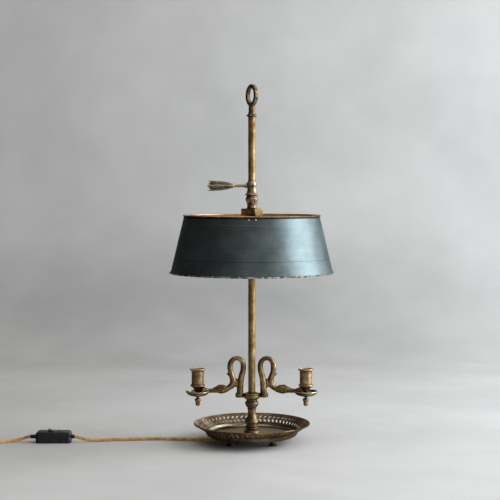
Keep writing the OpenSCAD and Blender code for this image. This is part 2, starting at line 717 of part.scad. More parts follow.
// ---- sliding collar and key ----
module clamp_collar() {
    r = collar_d / 2;
    waist = run_r + 1.3;
    z = collar_z;
    color("#75603a") difference() {
        union() {
            turned(concat(
                [[0, z], [r - 1, z]],
                arc([r - 1, z + 2.2], 1.9, -70, 80, 8),
                [[r - 1.2, z + 4.6]],
                smooth([[r - 1.3, z + 4.8], [waist + 1.1, z + 8], [waist, z + 12.4], [waist, z + 14.6]], 4),
                [[waist - 0.1, z + 15.2], [waist - 0.1, z + 16.4], [waist + 0.7, z + 17]],
                smooth([[waist + 1, z + 17.4], [waist + 1.6, z + 20], [waist + 1.7, z + 23],
                    [waist + 0.7, z + 25.4], [waist - 0.4, z + 26.8]], 4),
                [[rod_r + 0.9, collar_top], [0, collar_top]]));
            translate([-key_boss_r, 0, key_z]) rotate([0, 90, 0]) cylinder(d = 8.8, h = key_boss_r);
            translate([0, 0, z - spigot_h]) cylinder(r = spigot_r, h = spigot_h + 1);
        }
        translate([0, 0, z - spigot_h - 1]) cylinder(r = run_r, h = collar_h + spigot_h + 2);
        translate([-key_boss_r - 1, 0, key_z]) rotate([0, 90, 0])
            cylinder(d = key_shaft_d + 0.1, h = key_boss_r + 1);
        translate([0, 0, snap_z]) rotate_extrude() translate([spigot_r, 0])
            circle(r = snap_wire_r + snap_gap, $fn = 24);
    }
}

// One feather of the key in its own plane: root at 0, tip cut to barbs
key_barb = 7;
module feather(l, h) {
    polygon(concat(
        [[0, 0], [0, h * 0.36]],
        smooth([[0.5, h * 0.42], [l * 0.3, h * 0.78], [l * 0.62, h * 0.92], [l * 0.86, h]], 4),
        [[l, h * 0.92], [l - key_barb, h * 0.6], [l - 1.2, h * 0.44], [l - key_barb, h * 0.14],
            [l - key_barb, 0]]));
}

module arrow_key() {
    tip = rod_r + 0.25;
    ferrule = tip + key_l * 0.38;
    end = tip + key_l;
    vane_l = end - ferrule - 1;
    color("#6d624b") translate([0, 0, key_z]) rotate([0, -90, 0]) {
        difference() {
            translate([0, 0, tip]) cylinder(d = key_shaft_d, h = ferrule - tip + 1);
            translate([0, 0, tip - eps]) rotate_extrude()
                polygon([[key_shaft_d / 2 - 0.6, -1], [key_shaft_d, -1], [key_shaft_d, 1.4],
                    [key_shaft_d / 2, 1]]);
        }
        translate([0, 0, ferrule]) turned(concat(
            [[0, -2.4], [key_shaft_d / 2, -2.4]],
            arc([key_shaft_d / 2, -0.8], 1.4, -80, 80, 6),
            [[key_shaft_d / 2, 1], [key_shaft_d / 2 - 0.4, vane_l - 3], [0, vane_l + 0.6]]));
        for (a = [0:90:270]) rotate([0, 0, a]) rotate([90, 0, 0])
            linear_extrude(height = 2.4, center = true)
                translate([0, ferrule]) rotate([0, 0, 90]) mirror([0, 1]) feather(vane_l, feather_h / 2);
    }
}

// ---- swivelling shade carrier ----
// Grooves that part the leaves: how many, their radius and depth, where they start, and turn
gadroons = 8;
gash_r = 2.1;
gash_deep = 0.8;
gash_from = 6;
gash_phase = 0.58;

// Cup of leaves that opens upwards round the collar's spigot
module carrier_neck() {
    z = neck_z;
    r = max(collar_d / 2 + 0.5, spigot_r + 3);
    low = run_r + 1.8;
    flare = 15;
    color("#77623c") difference() {
        turned(concat(
            [[0, z], [low + 0.5, z], [low + 0.9, z + 0.9]],
            smooth([[low + 0.9, z + 1.3], [low + 0.2, z + 3.2], [low, z + 5], [low + 0.6, z + 8.4],
                [r - 1.5, z + 12.8], [r - 0.3, z + 16.2], [r, z + 18.6], [r - 0.8, z + 20.8]], 3),
            [[r - 1.9, z + 21.8], [r - 2.2, z + 22.2], [r - 2.2, neck_top], [0, neck_top]]));
        translate([0, 0, z - 1]) cylinder(r = run_r + 0.05, h = neck_h + 2);
        translate([0, 0, collar_z - spigot_h - 0.4]) cylinder(r = spigot_r + spigot_gap, h = spigot_h + 2);
        translate([0, 0, snap_z]) rotate_extrude() translate([spigot_r, 0])
            circle(r = snap_wire_r + snap_gap, $fn = 24);
        for (i = [0:gadroons - 1]) rotate([0, 0, 360 * (i + gash_phase) / gadroons])
            translate([low + gash_r - gash_deep, 0, z + gash_from]) rotate([0, flare, 0])
                cylinder(r = gash_r, h = neck_h);
    }
}

module snap_ring() {
    color("#9a9a98") translate([0, 0, snap_z])
        rotate_extrude(angle = 330) translate([spigot_r, 0]) circle(r = snap_wire_r, $fn = 24);
}

strap_screw_r = 1.8;

module at_strap_screws() {
    for (s = [-1, 1]) translate([0, s * (run_r + strap_screw_r + 1.6), 0]) children();
}

module carrier_block() {
    w = block_w / 2;
    c = 1;
    color("#a8883f") difference() {
        rotate([0, 0, block_turn]) translate([0, 0, block_z]) linear_extrude(height = block_h)
            polygon([for (a = [0:90:270], p = [[w, c - w], [w, w - c]])
                [p[0] * cos(a) - p[1] * sin(a), p[0] * sin(a) + p[1] * cos(a)]]);
        translate([0, 0, block_z - 1]) cylinder(r = run_r + 0.05, h = block_h + 2);
        at_strap_screws() translate([0, 0, block_z - 1]) cylinder(r = strap_screw_r + 0.05, h = 8);
    }
}

module inner_frustum(z0, z1, inset) {
    translate([0, 0, z0])
        cylinder(r1 = shade_r(z0) - shade_t - inset, r2 = shade_r(z1) - shade_t - inset, h = z1 - z0);
}

module shade_strap() {
    low = shade_top - 2 - tab_h;
    color("#8d7a4b") difference() {
        intersection() {
            inner_frustum(low, block_z, tab_gap);
            translate([-strap_w / 2, -shade_top_d, low]) cube([strap_w, 2 * shade_top_d, block_z - low]);
        }
        inner_frustum(low - 5, strap_z, tab_gap + tab_t);
        translate([0, 0, strap_z - 1]) cylinder(r = run_r + 0.05, h = strap_t + 2);
        at_strap_screws() translate([0, 0, strap_z - 1]) cylinder(r = strap_screw_r + 0.1, h = strap_t + 2);
        at_rivets() cylinder(d = rivet_d + 0.1, h = 12, center = true);
    }
}

module strap_screws() {
    color("#6f6040") at_strap_screws() {
        translate([0, 0, strap_z - eps]) cylinder(r = strap_screw_r, h = strap_t + 6);
        translate([0, 0, strap_z]) mirror([0, 0, 1])
            turned(concat([[0, 0]], arc([0, -1.6], 3.7, 26, 90, 6)));
    }
}

// Children stand on the shade's outer face at each rivet, +Z out along the wall's own normal
module at_rivets() {
    r = shade_r(rivet_z);
    for (back = [0, 180], s = [-1, 1]) rotate([0, 0, back - 90])
        rotate([0, 0, s * asin(rivet_pitch / 2 / r)]) translate([r, 0, rivet_z])
            rotate([0, 90 - shade_lean, 0]) children();
}

module shade_rivets() {
    long = shade_t + tab_gap + tab_t;
    color("#a89a7a") at_rivets() {
        translate([0, 0, -long - 0.6]) cylinder(d = rivet_d, h = long + 0.8);
        translate([0, 0, 0.12]) turned(concat([[0, 0]], arc([0, -1], 2.4, 25, 90, 6)));
        translate([0, 0, -long - 1.2]) cylinder(d = rivet_d + 1.2, h = 1);
    }
}

module shade() {
    e = shade_edge_r;
    top_r = shade_r(shade_top - e);
    low_r = shade_r(shade_z + e);
    color("#3d4a48") difference() {
        union() {
            turned([[low_r - shade_t, shade_z + e], [low_r, shade_z + e], [top_r, shade_top - e],
                [top_r - shade_t, shade_top - e]]);
            rotate_extrude() translate([low_r + e * 0.4, shade_z + e]) circle(r = e, $fn = 24);
            rotate_extrude() translate([top_r + e * 0.4, shade_top - e]) circle(r = e, $fn = 24);
        }
        at_rivets() cylinder(d = rivet_d + 0.1, h = 12, center = true);
    }
}

// ---- electric lights under the shade ----
module lights_hub() {
    r = rod_r + 5.25;
    z = lights_z;
    h = holder_cup_h;
    color("#9b8450") difference() {
        turned(concat(
            [[0, z], [r, z]], arc([r, z + 1.5], 1.5, -90, 0, 4), arc([r, z + h - 1.5], 1.5, 0, 90, 4),
            [[r - 2.4, z + h], [r - 2.8, z + h + 4], [0, z + h + 4]]));
        translate([0, 0, z - 1]) cylinder(r = rod_r + seat_gap, h = h + 6);
        translate([0, 0, z + h / 2]) rotate([0, 90, 0]) cylinder(r = tube_r + 0.05, h = 60, center = true);
        translate([0, 0, z + h + 2]) rotate([90, 0, 0]) cylinder(r = 1.55, h = 20);
    }
}

module lights_grub_screw() {
    color("#4b4b4a") translate([0, -rod_r - 0.05, lights_z + holder_cup_h + 2]) rotate([90, 0, 0])
        difference() {
            cylinder(r = 1.5, h = 3.2);
            translate([0, 0, 2.2]) cube([0.6, 4, 2.2], center = true);
        }
}

module light_tubes() {
    color("#a08a58") each_side() difference() {
        translate([rod_r + 0.3, 0, lights_z + holder_cup_h / 2]) rotate([0, 90, 0])
            cylinder(r = tube_r, h = holder_x - 7 - rod_r);
        translate([0, 0, lights_z + holder_cup_h / 2]) rotate([0, 90, 0])
            cylinder(r = tube_r - 1.3, h = holder_x);
        translate([0, 0, lights_z - 5]) cylinder(r = rod_r + 0.3, h = 30);
    }
}

module holder() {
    r = holder_d / 2;
    z = lights_z;
    color("#b39a62") translate([holder_x, 0, 0]) difference() {
        turned(concat(
            [[0, z - 2], [4, z - 2], [9, z]],
            arc([r - 3, z + 3], 3, -90, 0, 6),
            [[r, holder_z - 1], [r - 1, holder_z], [r - 1, holder_z + holder_h], [0, holder_z + holder_h]]));
        translate([0, 0, holder_z + 8]) cylinder(r = bulb_neck + 0.4, h = holder_h);
        translate([-r - 1, 0, z + holder_cup_h / 2]) rotate([0, 90, 0]) cylinder(r = tube_r + 0.05, h = 8);
        translate([-r - 4, 0, z + holder_cup_h / 2]) rotate([0, 90, 0]) cylinder(r = 2.4, h = 18);
        translate([0, 0, z + 3]) cylinder(r = 3, h = 12);
    }
}

module holder_left() { mirror([1, 0, 0]) holder(); }
module holder_right() { holder(); }

module bulb() {
    z = holder_z + 9;
    lift = sqrt(bulb_r * bulb_r - 100);
    color("#efe9dc") translate([holder_x, 0, 0])
        turned(concat(
            [[0, z], [3, z + 0.6], [bulb_neck, z + 3], [bulb_neck, holder_z + holder_h - 1]],
            smooth([[bulb_neck, holder_z + holder_h - 0.5], [bulb_neck + 0.6, holder_z + holder_h + 2],
                [10, bulb_z - lift]], 3),
            arc([0, bulb_z], bulb_r, -acos(10 / bulb_r) + 6, 90, 16)));
}

module bulb_left() { mirror([1, 0, 0]) bulb(); }
module bulb_right() { bulb(); }

lead_r = 2;

module inner_lead() {
    bend = 6.5;
    end = wire_hole_z;
    start = anchor_x + anchor_l / 2 + 0.2;
    curve = [for (a = [-90:15:0]) [-bend + bend * cos(a), anchor_flex_z + bend + bend * sin(a)]];
    route = concat([[start, anchor_flex_z]], curve, [[0, 60], [0, 140], [0, 240], [0, end]]);
    color("#b8963c") flat_sweep([for (p = route) [p[0], p[1], 2 * lead_r, 2 * lead_r]], 10);
}

// ---- flex entry under the tray ----
anchor_screw_r = 1.2;
anchor_head_r = 2.6;
anchor_head_z = 1.6;
anchor_head_h = 1.7;
anchor_w = 24;
anchor_z = 1;

module at_anchor_screws() {
    for (s = [-1, 1]) translate([anchor_x, s * 8.5, 0]) children();
}

module cord_anchor() {
    color("#2b2a28") difference() {
        translate([anchor_x - anchor_l / 2, -anchor_w / 2, anchor_z])
            cube([anchor_l, anchor_w, foot_h - seat_gap - anchor_z]);
        translate([anchor_x - anchor_l, 0, anchor_flex_z]) rotate([0, 90, 0])
            cylinder(r = flex_r + 0.15, h = anchor_l * 2);
        at_anchor_screws() {
            cylinder(r = anchor_screw_r + 0.05, h = foot_h);
            cylinder(r = anchor_head_r + 0.2, h = anchor_head_z + anchor_head_h + 0.1);
        }
    }
}

// Screws from below, cut flush with the tray's floor
module anchor_screws() {
    color("#8c8c88") at_anchor_screws() translate([0, 0, anchor_head_z]) {
        cylinder(r = anchor_screw_r, h = tray_top - anchor_head_z);
        cylinder(r = anchor_head_r, h = anchor_head_h);
    }
}

module strain_sleeve() {
    color("#232220") translate([anchor_x - anchor_l / 2, 0, anchor_flex_z]) rotate([0, -90, 0])
        difference() {
            cylinder(r1 = 4.6, r2 = flex_r + 0.7, h = sleeve_l);
            translate([0, 0, -1]) cylinder(r = flex_r + 0.15, h = sleeve_l + 2);
        }
}

// ---- in-line switch ----
switch_round = 6;
switch_bevel = 1.6;
split_gap = 0.1;
window_l = 23;
window_w = 13;
pocket_l = window_l + 6;
pocket_w = switch_w - 5;
pocket_top = 14;
rocker_z = switch_h - 4;
rocker_pin_r = 1.25;
rocker_pin_l = window_w + 3.6;
rocker_gap = 0.4;

// Housing half between two heights: round corners, and a bevel towards the end named by bevel_z
module switch_block(z0, z1, bevel_z) {
    l = switch_l / 2 - switch_round;
    w = switch_w / 2 - switch_round;
    h = z1 - z0 - 2;
    hull() for (x = [-l, l], y = [-w, w]) translate([x, y, 0]) {
        translate([0, 0, bevel_z == z0 ? z0 + 2 : z0]) cylinder(r = switch_round, h = h, $fn = 32);
        translate([0, 0, z0]) cylinder(r = switch_round - switch_bevel, h = z1 - z0, $fn = 32);
    }
}

module at_switch() { translate([switch_x, switch_y, 0]) children(); }

module at_switch_screws() {
    for (s = [-1, 1]) translate([s * (switch_l / 2 - 9), s * (switch_w / 2 - 6), 0]) children();
}

// Bores through both ends of the housing into the pocket, for the glands and the flex
module gland_bores() {
    for (s = [-1, 1]) translate([s * switch_l / 2, 0, gland_z]) rotate([0, 90, 0])
        cylinder(r = flex_r + 0.75, h = switch_l - pocket_l + 2, center = true);
}

module switch_base() {
    color("#1d1d1f") at_switch() difference() {
        switch_block(0, split_z, 0);
        translate([0, 0, 2]) linear_extrude(height = switch_h) square([pocket_l, pocket_w], center = true);
        gland_bores();
        at_switch_screws() translate([0, 0, -1]) cylinder(r = switch_screw_r + 0.05, h = switch_h);
    }
}

module switch_cover() {
    color("#1b1b1d") at_switch() difference() {
        switch_block(split_z + split_gap, switch_h, switch_h);
        translate([0, 0, split_z - 1]) linear_extrude(height = pocket_top - split_z + 1)
            square([pocket_l, pocket_w], center = true);
        translate([0, 0, split_z]) linear_extrude(height = switch_h)
            square([window_l, window_w], center = true);
        translate([0, 0, rocker_z]) rotate([90, 0, 0])
            cylinder(r = rocker_pin_r + 0.05, h = rocker_pin_l + 1, center = true);
        gland_bores();
        at_switch_screws() translate([0, 0, split_z - 1]) cylinder(r = switch_screw_r + 0.05, h = 6);
    }
}

// Tumbler with its high end away from the lamp, and the two pins that it tilts on
module switch_rocker() {
    l = window_l / 2 - 4 * rocker_gap;
    color("#202022") at_switch() translate([0, 0, rocker_z]) rotate([90, 0, 0]) {
        linear_extrude(height = window_w - 2 * rocker_gap, center = true)
            polygon([[-l, -1.5], [-4, -3.7], [4, -3.7], [l, -1.5], [l, 3.2], [l * 0.5, 3.9], [0, 4.6],
                [-l * 0.5, 6], [-l, 7.6]]);
        cylinder(r = rocker_pin_r, h = rocker_pin_l, center = true);
    }
}

switch_screw_r = 1.25;

module switch_screws() {
    color("#77777a") at_switch() at_switch_screws() {
        translate([0, 0, 0.8]) cylinder(r = switch_screw_r, h = split_z + 2);
    }
}

module gland(l) {
    difference() {
        cylinder(r1 = flex_r + 0.7, r2 = flex_r + 0.35, h = l);
        translate([0, 0, -1]) cylinder(r = flex_r + 0.1, h = l + 2);
    }
}

module switch_glands() {
    color("#19191b") at_switch() {
        translate([switch_l / 2 - 6, 0, gland_z]) rotate([0, 90, 0]) gland(6 + gland_short);
        translate([6 - switch_l / 2, 0, gland_z]) rotate([0, -90, 0]) gland(6 + gland_long);
    }
}

// ---- flex, coil and plug ----
module flex_to_switch() { color("#c98f3a") flex_tube(smooth(route_switch, 1), flex_r); }
module flex_to_coil() { color("#c98f3a") flex_tube(smooth(route_coil, 1), flex_r); }
module flex_to_plug() { color("#c98f3a") flex_tube(smooth(route_plug, 1), flex_r); }

module flex_coil() {
    color("#bd8636") translate([coil_x, coil_y, 0]) rotate_extrude()
        translate([coil_mid_r - coil_wide / 2, 0]) polygon(concat(
            arc([flex_r, flex_r], flex_r, 180, 270, 5), arc([coil_wide - flex_r, flex_r], flex_r, 270, 360, 5),
            arc([coil_wide - flex_r, coil_high - flex_r], flex_r, 0, 90, 5),
            arc([flex_r, coil_high - flex_r], flex_r, 90, 180, 5)));
}

module coil_tie() {
    w = coil_wide / 2 + 0.3;
    h = coil_high / 2 + 0.3;
    color("#242424") translate([coil_x - coil_mid_r, coil_y, coil_high / 2]) rotate([90, 0, 0])
        linear_extrude(height = 5, center = true) difference() {
            square([2 * w + 1.6, 2 * h + 0.8], center = true);
            square([2 * w, 2 * h], center = true);
            translate([-w - 2, -coil_high / 2 - 2]) square([2 * w + 4, 2]);
        }
}

plug_h = 20;
plug_l = 40;

module plug_shape(z0, z1) {
    translate([plug_x, plug_y, z0]) hull() {
        translate([-2, 0, 0]) for (y = [-1, 1]) translate([-plug_l / 2 + 6, y * (plug_w / 2 - 6), 0])
            cylinder(r = 6, h = z1 - z0, $fn = 32);
        for (y = [-1, 1]) translate([plug_l / 2 - 8, y * (plug_w / 2 - 12), 0])
            cylinder(r = 8, h = z1 - z0, $fn = 32);
    }
}

module plug_body() { color("#202021") plug_shape(0, 11); }
module plug_cover() { color("#1b1b1c") plug_shape(11.1, plug_h); }

module plug_pins() {
    color("#c0a878") translate([plug_x - 4, plug_y, plug_h + 0.05]) {
        translate([-10, 0, 0]) linear_extrude(height = 21) square([8, 4], center = true);
        for (s = [-1, 1]) translate([10, s * 11.1, 0]) linear_extrude(height = 17.7)
            square([6.3, 4], center = true);
    }
}

module plug_gland() {
    color("#19191b") translate([plug_x + plug_l / 2 + 0.1, plug_y, 11]) rotate([0, 90, 0]) gland(10);
}

feet();
foot_screws();
tray();
gallery();
base_nut();
base_washer();
nipple();
cord_anchor();
anchor_screws();
strain_sleeve();
stem_foot();
baluster();
knop();
arm_hub();
arm_screws();
arm_left();
arm_right();
pan_left();
pan_right();
cup_left();
cup_right();
pan_finials();
rod();
ring_finial();
clamp_collar();
arrow_key();
carrier_neck();
snap_ring();
carrier_block();
shade_strap();
strap_screws();
shade_rivets();
shade();
lights_hub();
lights_grub_screw();
light_tubes();
holder_left();
holder_right();
bulb_left();
bulb_right();
inner_lead();
switch_base();
switch_cover();
switch_rocker();
switch_screws();
switch_glands();
flex_to_switch();
flex_to_coil();
flex_coil();
coil_tie();
flex_to_plug();
plug_body();
plug_cover();
plug_pins();
plug_gland();
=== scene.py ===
import functools
import math

import bmesh
import bpy
import numpy as np
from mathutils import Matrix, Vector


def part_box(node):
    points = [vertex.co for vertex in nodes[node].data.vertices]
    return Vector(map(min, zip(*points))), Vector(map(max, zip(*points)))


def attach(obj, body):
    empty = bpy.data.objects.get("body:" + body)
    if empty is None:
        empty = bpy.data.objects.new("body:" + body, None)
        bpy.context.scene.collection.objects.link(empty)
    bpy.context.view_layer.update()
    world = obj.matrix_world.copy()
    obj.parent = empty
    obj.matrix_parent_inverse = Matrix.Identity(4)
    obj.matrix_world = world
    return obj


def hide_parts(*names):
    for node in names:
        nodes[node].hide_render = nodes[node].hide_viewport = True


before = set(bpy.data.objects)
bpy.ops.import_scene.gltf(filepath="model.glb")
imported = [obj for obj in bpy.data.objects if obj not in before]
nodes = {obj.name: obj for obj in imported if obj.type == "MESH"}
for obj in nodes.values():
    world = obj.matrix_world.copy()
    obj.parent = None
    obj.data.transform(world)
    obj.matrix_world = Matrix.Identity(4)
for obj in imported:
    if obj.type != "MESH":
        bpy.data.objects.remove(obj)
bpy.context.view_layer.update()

# ---- Camera ----
# It stands 2.48 m in front of the lamp, a little under half a metre up, and looks slightly
# down, so that the tray, the pans and the shade show their ellipses.
LOOKS_DOWN = 2.77  # degrees


def add(name, data):
    """A new object in the scene, at the origin."""
    made = bpy.data.objects.new(name, data)
    bpy.context.scene.collection.objects.link(made)
    return made


camera_data = bpy.data.cameras.new("camera")
camera_data.sensor_width = 36
camera_data.lens = 94.5
camera = add("camera", camera_data)
camera.location = (-0.0034, -2.48, 0.486)
camera.rotation_euler = (math.radians(90 - LOOKS_DOWN), 0, 0)
bpy.context.scene.camera = camera


# ---- Silk flex ----
# Nearly two metres of three silk-braided cores laid up like a rope. It leaves the black anchor
# under the tray, runs along the table through the switch, and is put away beyond it as a coil
# of six turns in two layers, tied once, with the plug beside it.
FLEX_D = 0.0065
LAY = 0.027  # length in which the strands go once round
FLAT_Z = 0.0033  # height of the flex where it lies on the table
LAYER = FLEX_D - 0.00005  # rise from one layer of the coil to the next
SPACING = 0.0018

lamp_to_switch = [
    (-0.024, 0, 0.0049), (-0.032, 0, 0.0049), (-0.041, 0, 0.0049), (-0.050, 0, 0.0049),
    (-0.059, 0.0005, 0.0044), (-0.070, 0.002, 0.0037), (-0.090, 0.005, 0.0033),
    (-0.120, 0.010, 0.0033), (-0.150, 0.014, 0.0033), (-0.180, 0.016, 0.0033),
    (-0.210, 0.015, 0.0033), (-0.240, 0.011, 0.0033), (-0.265, 0.007, 0.0033),
    (-0.285, 0.003, 0.0033), (-0.300, 0, 0.0036), (-0.313, -0.002, 0.0048),
    (-0.322, -0.003, 0.0070), (-0.330, -0.003, 0.0096), (-0.3368, -0.003, 0.0110),
]
inside_switch = [
    (-0.348, -0.003, 0.0110), (-0.3645, -0.003, 0.0086), (-0.3765, -0.003, 0.0078),
    (-0.3885, -0.003, 0.0086), (-0.408, -0.003, 0.0110),
]
switch_to_coil = [
    (-0.4212, -0.003, 0.0110), (-0.428, -0.003, 0.0096), (-0.436, -0.003, 0.0070),
    (-0.446, -0.004, 0.0046), (-0.457, -0.007, 0.0035), (-0.470, -0.013, 0.0033),
    (-0.484, -0.020, 0.0033), (-0.498, -0.026, 0.0033), (-0.511, -0.0305, 0.0033),
    (-0.523, -0.0322, 0.0033),
]
coil_to_plug = [
    (-0.573, -0.0324, 0.0098), (-0.580, -0.0323, 0.0091), (-0.587, -0.0322, 0.0092),
    (-0.594, -0.0321, 0.0102), (-0.6017, -0.0320, 0.0110), (-0.612, -0.0320, 0.0110),
]
COIL_CENTRE = (-0.548, 0.010)
COIL_TURNS = ((0.0425, 0), (0.0360, 0), (0.0295, 0), (0.0295, 1), (0.0360, 1), (0.0425, 1))
COIL_STEP = 12.0  # degrees
SHIFT_FROM, SHIFT_TO = 230, 350  # where in each turn the flex moves over to the next one


def eased(t):
    """0 up to t = 0, 1 from t = 1, and a smooth rise between them, as 3t^2 - 2t^3."""
    t = np.clip(t, 0, 1)
    return t * t * (3 - 2 * t)


def coil_route():
    """Clockwise turns from the coil's near side: on each, radius and height are steady, and
    then ease to those of the next turn. Where it climbs, the flex also leans in by half its
    diameter, to clear the turn beside it."""
    angle = np.arange(0, 360 * len(COIL_TURNS) + 1, COIL_STEP)
    turn = np.minimum(angle // 360, len(COIL_TURNS) - 1).astype(int)
    after = np.minimum(turn + 1, len(COIL_TURNS) - 1)
    share = (angle - 360 * turn - SHIFT_FROM) / (SHIFT_TO - SHIFT_FROM)
    radius, layer = np.array(COIL_TURNS).T
    climb = layer[after] - layer[turn]
    r = radius[turn] + (radius[after] - radius[turn]) * eased(share)
    r = r - climb * FLEX_D / 2 * np.sin(np.pi * np.clip(share, 0, 1))
    z = FLAT_Z + LAYER * (layer[turn] + climb * eased(share))
    a = np.radians(-90 - angle)
    return np.stack([COIL_CENTRE[0] + r * np.cos(a), COIL_CENTRE[1] + r * np.sin(a), z], 1)


def chords(points):
    """The length of each step along a path."""
    return np.linalg.norm(np.diff(points, axis=0), axis=1)


def way_to(steps):
    """How far along its path each point lies, from the lengths of the steps."""
    return np.concatenate([[0], np.cumsum(steps)])


def smooth_run(points, spacing):
    """A cubic through all the points, whose slope at each is the mean of its two chords,
    weighted to the shorter, then read off at an even spacing."""
    p = np.asarray(points, float)
    h = chords(p)
    s = way_to(h)
    chord = np.diff(p, axis=0) / h[:, None]
    between = (chord[:-1] * h[1:, None] + chord[1:] * h[:-1, None]) / (h[1:] + h[:-1])[:, None]
    slope = np.vstack([chord[:1], between, chord[-1:]])
    at = np.linspace(0, s[-1], round(s[-1] / spacing) + 1)
    i = np.clip(np.searchsorted(s, at, side="right") - 1, 0, len(h) - 1)
    u, w = ((at - s[i]) / h[i])[:, None], h[i][:, None]
    start = (2 * u ** 3 - 3 * u ** 2 + 1) * p[i] + (u ** 3 - 2 * u ** 2 + u) * w * slope[i]
    end = (3 * u ** 2 - 2 * u ** 3) * p[i + 1] + (u ** 3 - u ** 2) * w * slope[i + 1]
    return start + end


def unit(v):
    """Each row scaled to length 1."""
    return v / np.linalg.norm(v, axis=-1, keepdims=True)


def circle(n):
    """n angles, evenly spaced round a circle."""
    return np.linspace(0, 2 * np.pi, n, endpoint=False)


def tube(path, radius, sides, shift, turns, phase):
    """Rings of points round a path, square to it: the circle's centre stands off the path by
    shift, and goes round it turns times on the way, so that several such tubes lie together
    as a rope."""
    ahead = unit(np.gradient(path, axis=0))
    level = unit(np.cross((0, 0, 1), ahead))
    up = np.cross(ahead, level)
    swing = phase + 2 * np.pi * turns * np.linspace(0, 1, len(path))[:, None]
    centre = path + shift * (np.cos(swing) * level + np.sin(swing) * up)
    a = circle(sides)[None, :, None]
    return centre[:, None] + radius * (np.cos(a) * level[:, None] + np.sin(a) * up[:, None])


def skin(name, grids, round_off=False, smooth_below=40, tidy=False, seam=False):
    """One piece from one or more grids of points, each (rings, points in a ring, xyz) and
    closed round its rings. Neighbouring rings are joined by quads. The two ends are closed
    flat, or with round_off the last ring is joined to the first. The UV map runs once round
    each ring, and up it by its real length in metres. tidy merges points that coincide. seam
    closes an end by a strip across the ring instead, from each point to the one facing it."""
    points, faces, uv, first = [], [], [], 0
    for grid in grids:
        rings, n = grid.shape[:2]
        row = np.arange(rings if round_off else rings - 1)[:, None]
        col = np.arange(n)[None, :]
        here, there = first + row * n, first + (row + 1) % rings * n
        right = (col + 1) % n
        quads = np.stack([here + col, here + right, there + right, there + col], -1)
        faces += quads.reshape(-1, 4).tolist()
        step = np.linalg.norm(np.diff(grid, axis=0).mean(1), axis=1)
        v = way_to(step)
        v = np.append(v, v[-1] + step[-1:])
        across = (col[..., None] + [0, 1, 1, 0]) / n
        along = v[row[..., None] + [0, 0, 1, 1]]
        uv += np.stack(np.broadcast_arrays(across, along), -1).reshape(-1).tolist()
        last = first + (rings - 1) * n
        if seam:
            for k in range(n // 2 - 1):
                strip = [k, k + 1, n - 2 - k, n - 1 - k]
                faces += [[first + i for i in strip[::-1]], [last + i for i in strip]]
                uv += [0.5, 0.0] * 4 + [0.5, float(v[rings - 1])] * 4
        elif not round_off:
            faces += [list(range(first, first + n))[::-1], list(range(last, last + n))]
            uv += [0.5, 0.0] * n + [0.5, float(v[rings - 1])] * n
        points.append(grid.reshape(-1, 3))
        first += rings * n
    mesh = bpy.data.meshes.new(name)
    mesh.from_pydata(np.concatenate(points).tolist(), [], faces)
    mesh.uv_layers.new(name="around").data.foreach_set("uv", uv)
    if tidy:
        work = bmesh.new()
        work.from_mesh(mesh)
        bmesh.ops.remove_doubles(work, verts=work.verts, dist=2e-6)
        bmesh.ops.recalc_face_normals(work, faces=work.faces)
        work.to_mesh(mesh)
        work.free()
    mesh.shade_smooth()
    mesh.set_sharp_from_angle(angle=math.radians(smooth_below))
    return add(name, mesh)


flex_path = smooth_run(
    np.vstack([lamp_to_switch, inside_switch, switch_to_coil, coil_route(), coil_to_plug]),
    SPACING)
flex_length = float(chords(flex_path).sum())
strand_r = FLEX_D / 2 * 0.464  # three equal circles in one
flex = skin("flex", [
    tube(flex_path, strand_r, 10, FLEX_D / 2 - strand_r, flex_length / LAY, 2 * np.pi * k / 3)
    for k in range(3)])


